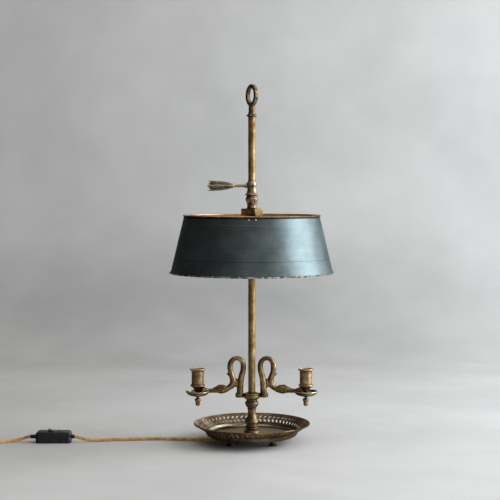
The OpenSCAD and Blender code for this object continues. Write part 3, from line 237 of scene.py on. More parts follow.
class Finish:
    """A material or a world under construction, from a name or one that exists. node() adds a
    shader node whose inputs are plain values or other nodes' outputs, and returns it; paint()
    joins an output to the surface shader or, for a plain value, sets its socket."""

    def __init__(self, start):
        new = isinstance(start, str)
        self.material = bpy.data.materials.new(start) if new else start
        self.material.use_nodes = True
        self.tree = self.material.node_tree
        self.surface = self.tree.nodes.get("Principled BSDF")

    def join(self, socket, value):
        if isinstance(value, bpy.types.NodeSocket):
            self.tree.links.new(value, socket)
        elif value is not None:
            socket.default_value = value

    def node(self, kind, inputs=(), **settings):
        made = self.tree.nodes.new("ShaderNode" + kind)
        for key, value in settings.items():
            setattr(made, key, value)
        for key, value in dict(inputs).items():
            self.join(made.inputs[key], value)
        return made

    def maths(self, how, *values):
        made = self.node("Math", operation=how)
        for socket, value in zip(made.inputs, values):
            self.join(socket, value)
        return made.outputs[0]

    def times(self, a, b):
        return self.maths("MULTIPLY", a, b)

    def plus(self, *values):
        return functools.reduce(lambda a, b: self.maths("ADD", a, b), values)

    def minus(self, a, b):
        return self.maths("SUBTRACT", a, b)

    def weigh(self, *pairs):
        """The sum of each value times its weight."""
        return self.plus(*[self.times(value, weight) for value, weight in pairs])

    def distance(self, a, b):
        """The root of a^2 + b^2."""
        squares = [self.maths("POWER", value, 2.0) for value in (a, b)]
        return self.maths("SQRT", self.plus(*squares))

    def dot(self, a, b):
        made = self.node("VectorMath", {0: a, 1: b}, operation="DOT_PRODUCT")
        return made.outputs["Value"]

    def between(self, value, low, high, to_low=0.0, to_high=1.0):
        """value carried from low..high to to_low..to_high, and held at both ends."""
        return self.node("MapRange", {
            "Value": value, "From Min": low, "From Max": high,
            "To Min": to_low, "To Max": to_high}).outputs[0]

    def place(self, stretch=(1, 1, 1), shift=(0, 0, 0), uv=False):
        """Object coordinates in metres, or the UV map: each axis times its stretch, and moved."""
        where = self.node("TexCoord").outputs["UV" if uv else "Object"]
        inputs = {"Vector": where, "Scale": stretch, "Location": shift}
        return self.node("Mapping", inputs).outputs[0]

    def xyz(self, where=None):
        """The three coordinates of a place, or of the point itself."""
        return tuple(self.node("SeparateXYZ", {"Vector": where or self.place()}).outputs)

    def bell(self, centre, reach):
        """exp(-d^2), where d is how far the point lies from a centre, counted along each axis
        in reaches."""
        where = self.place([1 / r for r in reach], [-c / r for c, r in zip(centre, reach)])
        return self.maths("EXPONENT", self.times(self.dot(where, where), -1.0))

    def noise(self, scale, detail=3.0, stretch=(1, 1, 1), rough=0.5):
        made = self.node("TexNoise", {
            "Vector": self.place(stretch), "Scale": scale, "Detail": detail, "Roughness": rough})
        return made.outputs["Fac"]

    def ramp(self, value, *stops):
        """Colours or grey levels against a value: each stop is (value, colour or grey)."""
        made = self.node("ValToRGB", {"Fac": value})
        spots = made.color_ramp.elements
        while len(spots) < len(stops):
            spots.new(0.5)
        for spot, (at, colour) in zip(spots, stops):
            spot.position = at
            spot.color = (*colour, 1) if isinstance(colour, tuple) else (colour,) * 3 + (1,)
        return made.outputs["Color"]

    def mix(self, share, a, b, how="MIX"):
        made = self.node("Mix", data_type="RGBA", blend_type=how)
        self.join(made.inputs["Factor"], share)
        for key, value in (("A", a), ("B", b)):
            socket = next(s for s in made.inputs if s.name == key and s.type == "RGBA")
            self.join(socket, (*value, 1) if isinstance(value, tuple) else value)
        return next(s for s in made.outputs if s.type == "RGBA")

    def bump(self, height, strength, distance, under=None):
        made = self.node("Bump", {
            "Height": height, "Strength": strength, "Distance": distance, "Normal": under})
        return made.outputs["Normal"]

    def has(self, part):
        """What an existing material already joins to a socket of its surface shader."""
        return self.surface.inputs[part].links[0].from_socket

    def paint(self, **parts):
        for key, value in parts.items():
            socket = self.surface.inputs[key.replace("_", " ")]
            colour = isinstance(value, tuple) and socket.type == "RGBA"
            self.join(socket, (*value, 1) if colour else value)
        return self.material


def coat(material, *names):
    """Gives a finish to CAD nodes, in place of the plain one that they came with."""
    for name in names:
        nodes[name].data.materials.clear()
        nodes[name].data.materials.append(material)


def stand_in(piece, material, body, slot, *stands_for):
    """Finishes a new piece, fixes it to its body and hides the CAD nodes that it stands for."""
    piece.data.materials.append(material)
    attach(piece, body)
    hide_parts(*stands_for)


PLAITS = 6  # diagonal waves round a strand
PLAIT_PITCH = 2200.0  # radians in a metre


def silk_braid():
    """Gold silk: fine diagonal plaits round each strand from two crossed waves on the UV map,
    with threads of lighter and darker gold along it."""
    f = Finish("gold silk braid")
    around, length, _ = f.xyz(f.place(uv=True))
    plait = f.maths("MAXIMUM", *(f.maths("SINE", f.weigh(
        (length, lean * PLAIT_PITCH), (around, 2 * math.pi * PLAITS))) for lean in (1, -1)))
    gold = f.ramp(f.noise(90, 4), (0.30, (0.56, 0.275, 0.070)), (0.52, (0.86, 0.48, 0.150)),
                  (0.72, (0.95, 0.66, 0.28)))
    dark = f.ramp(plait, (0.0, 0.60), (0.6, 1.0))
    return f.paint(
        Base_Color=f.mix(0.6, gold, dark, "MULTIPLY"), Roughness=0.62, Sheen_Weight=0.35,
        Sheen_Roughness=0.4, Normal=f.bump(plait, 0.5, 0.0002))


stand_in(flex, silk_braid(), "root", "flex_silk",
         "flex_to_switch", "flex_to_coil", "flex_coil", "flex_to_plug")


# ---- In-line switch ----
# A black moulded housing in two halves, screwed together from below, with a tumbler that tilts
# on two pins and a short rubber gland at each end.
SWITCH_X, SWITCH_Y = -0.3765, -0.003
SWITCH_L, SWITCH_W, SWITCH_H = 0.067, 0.028, 0.022
SPLIT_Z, PIN_Z = 0.011, 0.018
CORNER_R, TOP_R, LIP_R, FOOT_R = 0.006, 0.0030, 0.0007, 0.0018
WINDOW = (0.023, 0.013)
POCKET, POCKET_TOP = (0.029, 0.023), 0.0140
LEVEL_END, TOP_DROP = 0.020, 0.0030  # the top is level to here, and this much lower at its ends
PIN_R, PIN_END = 0.00125, 0.0083
CHAMFER = 0.0003  # along the line where two moulded halves meet


def loop(length, width, corner, z):
    """Outlines of rectangles with round corners, one for each height in z: each corner is a
    quarter circle about its own centre."""
    sides = 12
    length, width, corner, z = (np.asarray(v)[..., None] for v in (length, width, corner, z))
    a = np.radians(np.concatenate([np.linspace(q, q + 90, sides) for q in (0, 90, 180, 270)]))
    sx = np.repeat([1, -1, -1, 1], sides)
    sy = np.repeat([1, 1, -1, -1], sides)
    x = sx * (length / 2 - corner) + corner * np.cos(a)
    y = sy * (width / 2 - corner) + corner * np.sin(a)
    return np.stack([x, y, z + 0 * x], -1)


def rounding(steps, radius):
    """Inset and height of points on a quarter circle, from a wall to a flat top."""
    a = np.radians(np.linspace(0, 90, steps))
    return radius * (1 - np.cos(a)), radius * np.sin(a)


def switch_cover():
    """Rings up the wall, round the top edge, in to the window, down its sides and back along
    the pocket, so that the half is one closed skin with a through window. Its top stays level
    over the window and drops at both ends, as the cube of the way out from there."""
    inset, rise = rounding(9, TOP_R)
    wall_low, wall_high = SPLIT_Z + 0.0001, SWITCH_H - TOP_R
    x0 = np.concatenate([[CHAMFER, 0], inset])
    z0 = np.concatenate([[wall_low, wall_low + 0.0004], wall_high + rise])
    outer = loop(SWITCH_L - 2 * x0, SWITCH_W - 2 * x0, CORNER_R - x0, z0)
    lip, drop = rounding(4, LIP_R)
    grow = np.concatenate([(LIP_R - lip)[::-1][:-1], [0.0, 0.0]])
    z1 = np.concatenate([(SWITCH_H - LIP_R + drop)[::-1][:-1], [SWITCH_H - 0.0012, POCKET_TOP]])
    window = loop(WINDOW[0] + 2 * grow, WINDOW[1] + 2 * grow, 0.0006 + grow, z1)
    pocket = loop(*([size] * 2 for size in (*POCKET, 0.0012)), [POCKET_TOP, wall_low])
    rings = np.concatenate([outer, window, pocket])
    out = np.clip((np.abs(rings[..., 0]) - LEVEL_END) / (SWITCH_L / 2 - LEVEL_END), 0, 1)
    upper = np.clip((rings[..., 2] - 0.013) / 0.006, 0, 1)
    rings[..., 2] -= TOP_DROP * out ** 3 * upper
    return rings + (SWITCH_X, SWITCH_Y, 0)


def switch_base():
    """The lower half: a small rounding at the table, straight walls to the parting line."""
    inset, rise = rounding(6, FOOT_R)
    x0 = np.concatenate([[0.012], inset[::-1], [0, CHAMFER]])
    z0 = np.concatenate([[0.0], FOOT_R - rise[::-1], [SPLIT_Z - 0.0004, SPLIT_Z]])
    corner = np.maximum(CORNER_R - x0, 0.0002)
    return loop(SWITCH_L - 2 * x0, SWITCH_W - 2 * x0, corner, z0) + (SWITCH_X, SWITCH_Y, 0)


def tumbler():
    """The tumbler's side view, with its corners smoothed by two rounds of averaging with both
    neighbours, swept across the window and pinched at its two faces: it has a low middle and
    a high end away from the lamp. The pins that it tilts on are one rod through it."""
    half = WINDOW[0] / 2 - 0.0016
    side = np.array([(-half, -0.0015), (-0.004, -0.0037), (0.004, -0.0037), (half, -0.0015),
                     (half, 0.0030), (0.0075, 0.0036), (0.0025, 0.0042), (-0.002, 0.0048),
                     (-0.006, 0.0061), (-half + 0.0004, 0.0075), (-half, 0.0071)])
    t = np.linspace(0, len(side), len(side) * 5, endpoint=False)
    i = t.astype(int)
    share = (t - i)[:, None]
    line = side[i] * (1 - share) + side[(i + 1) % len(side)] * share
    for _ in range(2):
        line = 0.25 * np.roll(line, 1, 0) + 0.5 * line + 0.25 * np.roll(line, -1, 0)
    wide = WINDOW[1] / 2 - 0.0004
    across = wide * np.array([-1, -0.985, -0.93, -0.5, 0, 0.5, 0.93, 0.985, 1])
    pinch = np.array([0.93, 0.975, 1, 1, 1, 1, 1, 0.975, 0.93])
    middle = line.mean(0)
    body = np.zeros((len(across), len(line), 3))
    body[..., 0] = middle[0] + (line[:, 0] - middle[0]) * pinch[:, None]
    body[..., 2] = middle[1] + (line[:, 1] - middle[1]) * pinch[:, None]
    body[..., 1] = across[:, None]
    a = circle(20)
    pin = np.zeros((2, 20, 3))
    pin[..., 0], pin[..., 2] = PIN_R * np.cos(a), PIN_R * np.sin(a)
    pin[..., 1] = [[-PIN_END], [PIN_END]]
    place = (SWITCH_X, SWITCH_Y, PIN_Z)
    return [body + place, pin + place]


def moulded(name, shine, grain):
    """Black moulding: a faint grain all over, short paler scuffs, a dustier black in patches."""
    f = Finish(name)
    cloud = f.noise(60, 4, rough=0.65)
    colour = f.ramp(cloud, (0.35, (0.012, 0.012, 0.0125)), (0.75, (0.026, 0.026, 0.027)))
    scuff = f.between(f.noise(1, 3, (260, 1500, 900)), 0.60, 0.74)
    return f.paint(
        Base_Color=f.mix(f.times(scuff, 0.4), colour, (0.055, 0.055, 0.053)),
        Roughness=f.between(cloud, 0.3, 0.7, shine, shine + 0.15), Specular_IOR_Level=0.32,
        Normal=f.bump(f.noise(2600, 2), grain, 0.0001))


black_moulding = moulded("black moulding", 0.22, 0.25)
switch_top = skin("switch_top", [switch_cover()], round_off=True, smooth_below=50)
switch_bottom = skin("switch_bottom", [switch_base()], smooth_below=50)
switch_tumbler = skin("switch_tumbler", tumbler(), smooth_below=50, tidy=True)
for piece, stands_for, body in ((switch_top, "switch_cover", "root"),
                                (switch_bottom, "switch_base", "root"),
                                (switch_tumbler, "switch_rocker", "rocker")):
    stand_in(piece, black_moulding, body, "black_plastic", stands_for)
coat(moulded("black rubber", 0.55, 0.15), "switch_glands", "plug_gland", "strain_sleeve")


def plain_steel():
    """Zinc-plated steel gone dull, with fine scratches across it."""
    f = Finish("dull steel")
    cloud = f.noise(300, 4)
    return f.paint(
        Base_Color=f.ramp(cloud, (0.35, (0.22, 0.21, 0.19)), (0.65, (0.45, 0.44, 0.42))),
        Metallic=1.0, Roughness=f.between(cloud, 0.3, 0.7, 0.3, 0.5),
        Normal=f.bump(f.noise(1, 2, (6000, 700, 700)), 0.15, 0.0001))


coat(plain_steel(), "switch_screws", "anchor_screws", "snap_ring", "lights_grub_screw")


# ---- Plug and coil tie ----
# A black three-pin plug in two halves with brass pins, lying pins up, and the strip of black
# ribbon that holds the coiled flex.
PLUG_X, PLUG_Y, PLUG_H, PLUG_R = -0.632, -0.032, 0.020, 0.0022
PLUG_LOW, PLUG_HIGH = 0.0110, 0.0111  # the top of the lower half, the foot of the upper one


def plug_outline(inset, z):
    """The plug seen from its pins: four round corners, small at the wide end and large at the
    end where the flex comes in, joined by straight sides, all moved in by inset."""
    sides = 14
    centre = np.array([(0.012, 0.011), (-0.016, 0.017), (-0.016, -0.017), (0.012, -0.011)])
    radius = np.array([0.008, 0.006, 0.006, 0.008])
    lean = 12  # degrees by which the long sides close towards the flex
    spans = ((0, 90 - lean), (90 - lean, 180), (180, 270 + lean), (270 + lean, 360))
    inset, z = inset[..., None], z[..., None]
    a = np.radians(np.concatenate([np.linspace(*span, sides) for span in spans]))
    which = np.repeat(range(4), sides)
    r = np.maximum(radius[which] - inset, 0.0002)
    x, y = centre[which, 0] + r * np.cos(a), centre[which, 1] + r * np.sin(a)
    return np.stack([x, y, z + 0 * x], -1) + (PLUG_X, PLUG_Y, 0)


inset, rise = rounding(6, PLUG_R)
plug_bottom = skin("plug_bottom", [plug_outline(
    np.concatenate([inset[::-1], [0, CHAMFER]]),
    np.concatenate([PLUG_R - rise[::-1], [PLUG_LOW - 0.0004, PLUG_LOW]]))], smooth_below=50)
plug_top = skin("plug_top", [plug_outline(
    np.concatenate([[CHAMFER, 0], inset]),
    np.concatenate([[PLUG_HIGH, PLUG_HIGH + 0.0004], PLUG_H - PLUG_R + rise]))], smooth_below=50)
stand_in(plug_bottom, black_moulding, "root", "black_plastic", "plug_body")
stand_in(plug_top, black_moulding, "root", "black_plastic", "plug_cover")


THREADS = 9000.0  # radians of each wave of the weave in a metre


def woven_ribbon():
    """Black ribbon with a fine square weave: one wave across times one along."""
    f = Finish("black ribbon")
    x, y, z = f.xyz()
    weave = f.times(*(f.maths("SINE", f.times(way, THREADS)) for way in (y, f.plus(x, z))))
    return f.paint(
        Base_Color=f.ramp(weave, (0.2, (0.010, 0.010, 0.011)), (0.8, (0.034, 0.033, 0.034))),
        Roughness=0.8, Normal=f.bump(weave, 0.4, 0.0002))


coat(woven_ribbon(), "coil_tie")
coat(black_moulding, "cord_anchor")


# ---- Tray, gallery and feet ----
# Spun sheet brass with a pierced, flared gallery soldered on and four turned feet, patinated
# brown. The floor is rubbed by hands and cloths to a grey gold; the bends are darkened by patina
# and by painted shade.
def old_brass(name, deep, body, worn, rough, cloud_size=0.030, copper=0.0, olive=0.0,
              streaks=0.0, rings=0.0, hollow_patina_and_shade=0.28, spread=0.17, pits=0.22, specks=0.6):
    """Brass whose colour goes from deep in hollows to worn on open faces, by clouds of a given
    size, fine grain and how enclosed the spot is, with dark specks over it all. The darkening of
    enclosed spots, found by ambient occlusion, is partly patina in the hollows and partly painted
    shade. copper and olive tint it in patches, streaks draws long marks up the Z axis, and rings
    draws turning marks round it. rough is its roughness where polished and where dull. A thin
    clear film of wax whitens the highlights."""
    f = Finish(name)
    cloud = f.noise(1 / cloud_size, 5, rough=0.62)
    fine = f.noise(420, 4, rough=0.6)
    # Ambient occlusion: enclosed spots are darkened, partly as patina and partly as painted
    # shade.
    open_air = f.node("AmbientOcclusion", {"Distance": 0.007}, samples=8).outputs["AO"]
    level = f.weigh((cloud, 0.62), (fine, 0.26), (f.maths("POWER", open_air, 1.8), hollow_patina_and_shade))
    if streaks:
        long_marks = f.noise(1, 4, (420, 420, 9), rough=0.6)
        level = f.plus(level, f.times(f.minus(long_marks, 0.5), streaks))
    middle = 0.44 + 0.9 * hollow_patina_and_shade
    colour = f.ramp(level, (middle - spread, deep), (middle, body), (middle + spread, worn))
    if copper:
        patch = f.between(f.noise(75, 4, rough=0.7), 0.50, 0.66)
        colour = f.mix(f.times(patch, copper), colour, (0.40, 0.165, 0.075))
    if olive:
        patch = f.between(f.noise(58, 4, (1.1, 0.9, 1.3), rough=0.7), 0.50, 0.68)
        colour = f.mix(f.times(patch, olive), colour, (0.17, 0.155, 0.045))
    speck = f.ramp(f.noise(900, 2), (0.30, 0.55), (0.44, 1.0))
    colour = f.mix(specks, colour, speck, "MULTIPLY")
    grain = f.noise(240, 4, rough=0.7)
    if rings:
        grain = f.mix(rings, grain, f.noise(1, 2, (3, 3, 2200)))
    polish = f.weigh((cloud, 0.6), (grain, 0.4))
    return f.paint(
        Base_Color=colour, Metallic=0.94, Specular_Tint=(0.52, 0.45, 0.37),
        Roughness=f.between(polish, 0.35, 0.65, rough[1], rough[0]),
        Coat_Weight=0.05, Coat_Roughness=0.28, Normal=f.bump(grain, pits, 0.0004))


def sheet_brass(name):
    """Thin spun brass, bronzed brown, for the gallery and the feet."""
    return old_brass(name, (0.024, 0.014, 0.007), (0.118, 0.080, 0.044), (0.40, 0.305, 0.185),
                     (0.32, 0.52), copper=0.28, olive=0.10, hollow_patina_and_shade=0.30)


def painted_light_inside(material, light_gain):
    """Painted light on the gallery: brightens the faces on the left that look towards the lamp's
    axis, and so towards the window on the right, the faces whose normal points against the way
    out from the axis."""
    f = Finish(material)
    outward = f.dot(f.node("NewGeometry").outputs["Normal"], f.place((1, 1, 0)))
    base = f.has("Base Color")
    x, y, _ = f.xyz()
    left = f.times(f.between(x, -0.050, -0.085, 0.05), f.between(y, 0.075, 0.045))
    share = f.times(left, f.between(outward, 0.01, -0.02))
    return f.paint(Base_Color=f.mix(share, base, f.mix(1.0, base, light_gain, "MULTIPLY")))


coat(sheet_brass("bronzed sheet brass"), "feet", "foot_screws")
# The gallery's inner faces on the left get painted light.
coat(painted_light_inside(sheet_brass("gallery brass"), (2.6, 2.8, 3.3)), "gallery")

TRAY_LOW, TRAY_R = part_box("tray")[0].z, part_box("tray")[1].x
BEND_R, TRAY_T = 0.0095, 0.0012
FLOOR_R = TRAY_R - BEND_R


def rubbed_inside(material):
    """Makes the tray's inner side brighter and smoother than its outside. A point is inside if it
    lies less than the bend's radius, less half the sheet, from the middle of the bend, counted
    outwards from the bend's start and downwards from its end only. The floor is duller than the
    bend, and the far left of the bend is darkened in a soft round patch: painted shade that dims
    the window's reflection there."""
    f = Finish(material)
    x, y, z = f.xyz()
    radius = f.distance(x, y)
    out = f.maths("MAXIMUM", f.minus(radius, FLOOR_R), 0.0)
    down = f.maths("MAXIMUM", f.minus(TRAY_LOW + BEND_R, z), 0.0)
    inside = f.maths("LESS_THAN", f.distance(out, down), BEND_R - TRAY_T / 2)
    cloud = f.noise(22, 5, rough=0.6)
    brass = f.ramp(cloud, (0.30, (0.26, 0.205, 0.135)), (0.50, (0.43, 0.360, 0.262)),
                   (0.70, (0.60, 0.530, 0.415)))
    # Painted shade: a soft dark patch on the far left of the bend, to dim the window's reflection
    # there.
    painted_shade_patch = f.times(f.bell((-0.047, 0.061, 0), (1 / 42, 1 / 42, math.inf)),
                      f.between(radius, FLOOR_R - 0.009, FLOOR_R, 0.1, 0.94))
    brass = f.mix(painted_shade_patch, brass, (0.045, 0.035, 0.019))
    dull = f.between(radius, FLOOR_R - 0.005, FLOOR_R + 0.001, 0.16, 0.0)
    rough = f.plus(dull, f.between(cloud, 0.35, 0.65, 0.27, 0.17))
    pits = f.minus(0.16, f.times(inside, 0.13))
    return f.paint(
        Base_Color=f.mix(inside, f.has("Base Color"), brass),
        Roughness=f.mix(inside, f.has("Roughness"), rough),
        Normal=f.bump(f.noise(240, 3), pits, 0.0004))


coat(rubbed_inside(old_brass(
    "tray brass", (0.022, 0.013, 0.007), (0.085, 0.057, 0.033), (0.28, 0.215, 0.135),
    (0.30, 0.50), copper=0.28, olive=0.10, hollow_patina_and_shade=0.30)), "tray")


# ---- Stem ----
# Foot, baluster, knop and hub are turned from cast brass and threaded on a nipple, with a nut
# and washer under the tray. Each has gone brown on its own: the knop is redder than the rest.
turned_brass = old_brass(
    "turned brass", (0.050, 0.029, 0.012), (0.180, 0.118, 0.055), (0.46, 0.355, 0.220),
    (0.36, 0.54), rings=0.5, copper=0.20, cloud_size=0.018)
coat(turned_brass, "stem_foot", "baluster", "arm_hub", "arm_screws", "base_nut",
     "base_washer", "nipple")
coat(old_brass(
    "red-brown brass", (0.045, 0.026, 0.018), (0.160, 0.108, 0.078), (0.33, 0.25, 0.19),
    (0.38, 0.56), copper=0.12, rings=0.4, cloud_size=0.014), "knop")


# ---- Candle arms ----
# Each arm is one casting: a bird's neck that rises from a round foot, loops over and comes down
# to a head with a crest, whose beak carries the pan. Chased feathers cover the lower neck.
HUB_TOP = 0.0937
FOOT_X, CUP_X = 0.023, 0.1027
# Ovals from the foot up over the loop, and from there down to the pan: x, height above the
# hub, width and depth, in millimetres.
UP = [(22.8, -3, 12.8, 12.2), (22.3, 5, 12.6, 12), (21.9, 14, 12.4, 11.8), (21.3, 24, 12, 11.4),
      (19.3, 33.5, 11.4, 11), (16.8, 43, 10.6, 10.4), (16.1, 52.5, 10.2, 9.8),
      (18.4, 60.3, 9.6, 9.4), (22.9, 65, 8.8, 9), (28.7, 66.6, 8.4, 8.8), (34.6, 65, 8.8, 9),
      (39.1, 59.9, 9.6, 9.4), (41.2, 52.5, 10.4, 9.8), (40.6, 43, 10.2, 10.2)]
DOWN = [(39.1, 59.9, 9.4, 9.2), (41.2, 53, 10.4, 9.8), (41, 46, 10.8, 10.2),
        (39.8, 39, 10.2, 10.2), (37.6, 32, 10.8, 10.6), (35.8, 26, 11.8, 11.2),
        (35.6, 20.5, 12.4, 11.6), (37.2, 15.8, 12, 11.6), (40.6, 12.4, 10.8, 11.2),
        (44.8, 9.6, 10.4, 11), (50, 7.2, 12, 11.8), (54, 7.1, 15, 13), (58.5, 7.3, 17, 14),
        (63, 7.1, 16, 13.4), (67, 6.2, 12.8, 11.6), (70.2, 5.2, 10, 9.6), (74, 4.7, 8.6, 8.2),
        (79, 4.4, 8.2, 7.6), (84, 4.1, 7.8, 7.8), (89, 3.6, 7.4, 8.4), (93, 2.8, 6.8, 8.4),
        (96, 2, 6, 7.6), (99, 1.2, 6, 7)]
# Two balls and the skin between them: each x, y, height above the hub and radius.
LOBES = [  # the web in the loop, the barb, the crest, the beak's ridge and the middle leaf
    ((29, 0, 15.4, 4.4), (29.4, 0, 23.6, 4.2)), ((42, 0, 34, 2.6), (47.4, 0, 37.2, 1.15)),
    ((53.6, 0, 12.6, 3.3), (61.4, 0, 13.4, 3)), ((65.5, 0, 11.6, 2), (72.4, 0, 9.6, 1)),
    ((82.5, 0, 5.2, 2.4), (93.4, 0, 9.8, 2.2))]
PAIRS = [  # on both sides: cheek, brow, eye, jaw, the beak above and below, and two leaves
    ((48, 3.4, 9.8, 2.6), (55, 4.4, 11.4, 3)), ((57, 5.9, 11.6, 1.7), (64.8, 4.8, 10.8, 1.3)),
    ((60.6, 6.4, 8.2, 1.8), (61.4, 6.4, 8.2, 1.8)), ((55, 5, 4.4, 2.6), (62.5, 4.8, 3.4, 2)),
    ((65, 4.2, 6.8, 1.9), (72, 4, 6.2, 0.9)), ((64.5, 2.6, 2.4, 1.9), (71.6, 2.4, 2.6, 0.9)),
    ((84, 2.4, 5.8, 2.3), (93, 5.6, 9, 2.4)), ((86, 4.2, 3.4, 2.1), (94.5, 7.6, 4.8, 2.1))]


def through(points, steps):
    """A smooth curve through points of any number of values: on each span, the cubic whose
    slope at both ends is half the chord between the points before and after it."""
    p = np.asarray(points, float)
    i = np.arange(len(p) - 1)[:, None, None]
    before, after = p[np.maximum(i - 1, 0)], p[np.minimum(i + 2, len(p) - 1)]
    here, there = p[i], p[i + 1]
    t = (np.arange(steps) / steps)[None, :, None, None]
    run = 0.5 * (2 * here + (there - before) * t
                 + (2 * before - 5 * here + 4 * there - after) * t ** 2
                 + (3 * here - before - 3 * there + after) * t ** 3)
    return np.concatenate([run.reshape(-1, p.shape[1]), p[-1:]])


def limb(stations, sides=40, steps=8):
    """Ovals along a curve in the XZ plane, each with its width in that plane and its depth."""
    s = through(stations, steps) / 1000
    way = unit(np.gradient(s[:, :2], axis=0))[..., None]
    x, z, width, depth = s.T[..., None]
    a = circle(sides)
    out = width / 2 * np.cos(a)
    return np.stack([x - way[:, 1] * out, depth / 2 * np.sin(a),
                     HUB_TOP + z + way[:, 0] * out], -1)


def lobe(a, b, sides=20):
    """The skin round two balls: half circles of both, cut where a cone touches them."""
    n = 9  # rings on each ball
    pa, pb = np.array(a[:3]) / 1000, np.array(b[:3]) / 1000
    ra, rb = a[3] / 1000, b[3] / 1000
    gap = np.linalg.norm(pb - pa)
    touch = math.acos((ra - rb) / gap)
    turn = np.concatenate([np.linspace(np.pi, touch, n), np.linspace(touch, 0, n)])[:, None, None]
    centre = np.repeat([pa, pb], n, axis=0)[:, None]
    r = np.repeat([ra, rb], n)[:, None, None]
    ahead = (pb - pa) / gap
    aside = unit(np.cross(ahead, (0.3, 0.9, 0.2)))
    other = np.cross(ahead, aside)
    w = circle(sides)[None, :, None]
    rim = np.cos(w) * aside + np.sin(w) * other
    return centre + r * (np.cos(turn) * ahead + np.sin(turn) * rim) + (0, 0, HUB_TOP)


def turned(x, profile, sides=48):
    """A profile turned about an upright axis at x: each point is its radius, and its height
    against the hub's top, both in millimetres."""
    p = (np.array(profile) + (0, HUB_TOP * 1000)) / 1000
    a = circle(sides)
    return np.stack([x + p[:, :1] * np.cos(a), p[:, :1] * np.sin(a), p[:, 1:] + 0 * a], -1)


def scales(along_it, around_it):
    """Overlapping round-ended feathers: two sets of rows, half a feather apart both ways. In
    each, the height climbs along the feather to its free end, which is a parabola, and falls
    steeply beyond it. The higher of the two sets shows."""
    rows = []
    for shift in (0.0, 0.5):
        across = (around_it + shift) % 1 - 0.5
        t = (along_it / 2 + shift + 0.30 * (4 * across ** 2)) % 1
        rows.append(np.minimum(t / 0.86, (1 - t) / 0.14))
    return np.maximum(*rows)


def rows_of(items, what):
    """One value in x, y, z for each of a mesh's items, as rows."""
    rows = np.empty(len(items) * 3, np.float32)
    items.foreach_get(what, rows)
    return rows.reshape(-1, 3).astype(float)


def tint(mesh, red, green):
    """Gives each point of a mesh two values from 0 to 1, which chased() reads."""
    colours = np.stack([red, green, 0 * red, 0 * red + 1], 1).reshape(-1)
    layer = mesh.color_attributes.new("tint", "FLOAT_COLOR", "POINT")
    layer.data.foreach_set("color", colours)


def dip(off, width):
    """1 in the middle of a groove, and exp(-(off / width)^2) beside it."""
    return np.exp(-(off / width) ** 2)


def cast_arm():
    """The two limbs, the foot, the eye and all lobes are blended into one skin by a fine voxel
    grid and smoothed like a casting. Then each point moves along its normal by the relief:
    feathers on the lower neck, a ring round each eye, the line of the beak, and veins on the
    leaves. What the cup's underside needs is pressed down."""
    grids = [limb(UP), limb(DOWN)] + [lobe(a, b) for a, b in LOBES]
    for side in (1, -1):
        grids += [lobe(*((x, side * y, z, r) for x, y, z, r in pair)) for pair in PAIRS]
    grids.append(turned(FOOT_X, [(0.01, -4.2), (7.9, -4.2), (8.25, -3.8), (8.25, -0.5), (7.9, 0),
                                 (6, 0.3), (0.01, 0.4)]))
    grids.append(turned(CUP_X, [(0.01, -5.2), (4.7, -5.2), (4.7, 6.1), (0.01, 6.1)]))
    arm = skin("arm", grids, tidy=True)
    fine = arm.modifiers.new("blend", "REMESH")
    fine.mode = "VOXEL"
    fine.voxel_size = 0.00046
    ease = arm.modifiers.new("ease", "SMOOTH")
    ease.factor, ease.iterations = 0.5, 5
    whole = arm.evaluated_get(bpy.context.evaluated_depsgraph_get())
    mesh = bpy.data.meshes.new_from_object(whole)
    arm.modifiers.clear()
    arm.data = mesh

    p, out = rows_of(mesh.vertices, "co"), rows_of(mesh.vertices, "normal")
    x, y, z = p[:, 0] * 1000, p[:, 1] * 1000, (p[:, 2] - HUB_TOP) * 1000
    spine = through(DOWN, 8)[:, :2] / 1000
    way = unit(np.gradient(spine, axis=0))
    length = way_to(chords(spine))
    from_it = np.stack([p[:, 0], p[:, 2] - HUB_TOP], 1)[:, None] - spine
    near = (from_it ** 2).sum(-1).argmin(1)
    off = from_it[np.arange(len(p)), near]
    ahead = (off * way[near]).sum(1)
    aside = off[:, 1] * way[near, 0] - off[:, 0] * way[near, 1]
    at = (length[near] + ahead) * 1000
    turn = np.arctan2(p[:, 1], aside) / (2 * np.pi)
    feathered = eased((at - 30) / 8) * eased((72 - at) / 6) * (x > 31)
    # Heights and depths in millimetres.
    relief = 0.42 * feathered * (scales(at / 2.6, turn * 8) - 0.55)
    from_eye = np.hypot(x - 61, z - 8.2)
    for side in (1, -1):
        relief -= 0.35 * dip(from_eye - 2.6, 0.45) * (side * y > 3)
        vein = side * y - (2.6 + 0.34 * (x - 84))
        relief -= 0.30 * dip(vein, 0.4) * eased((x - 82) / 2) * (z > 2)
    relief -= 0.38 * dip(z - 4.6, 0.4) * eased((x - 68) / 3) * eased((84 - x) / 3)
    on_crest = eased((z - 9.5) / 2) * eased((x - 50) / 2) * eased((68 - x) / 2)
    relief += 0.22 * np.sin(x * 2.6 + z * 1.2) * on_crest
    relief -= 0.3 * dip(x - 66.2 - 0.18 * z, 0.5) * (x > 55)
    p += out * relief[:, None] / 1000

    away = np.hypot(p[:, 0] - CUP_X, p[:, 1]) * 1000
    ceiling = np.interp(away, [0, 7.3, 8.8, 10.6, 12.4, 14.4, 14.9, 15.4],
                        [5.9, 5.9, 8.0, 10.2, 11.6, 13.2, 14.6, 99])
    p[:, 2] = np.minimum(p[:, 2], HUB_TOP + ceiling / 1000)
    mesh.vertices.foreach_set("co", p.reshape(-1))
    tint(mesh, dip(x - 30.5, 5.5) * dip(z - 19, 6), np.clip(-relief / 0.3, 0, 1))
    mesh.update()
    mesh.shade_smooth()
    return arm


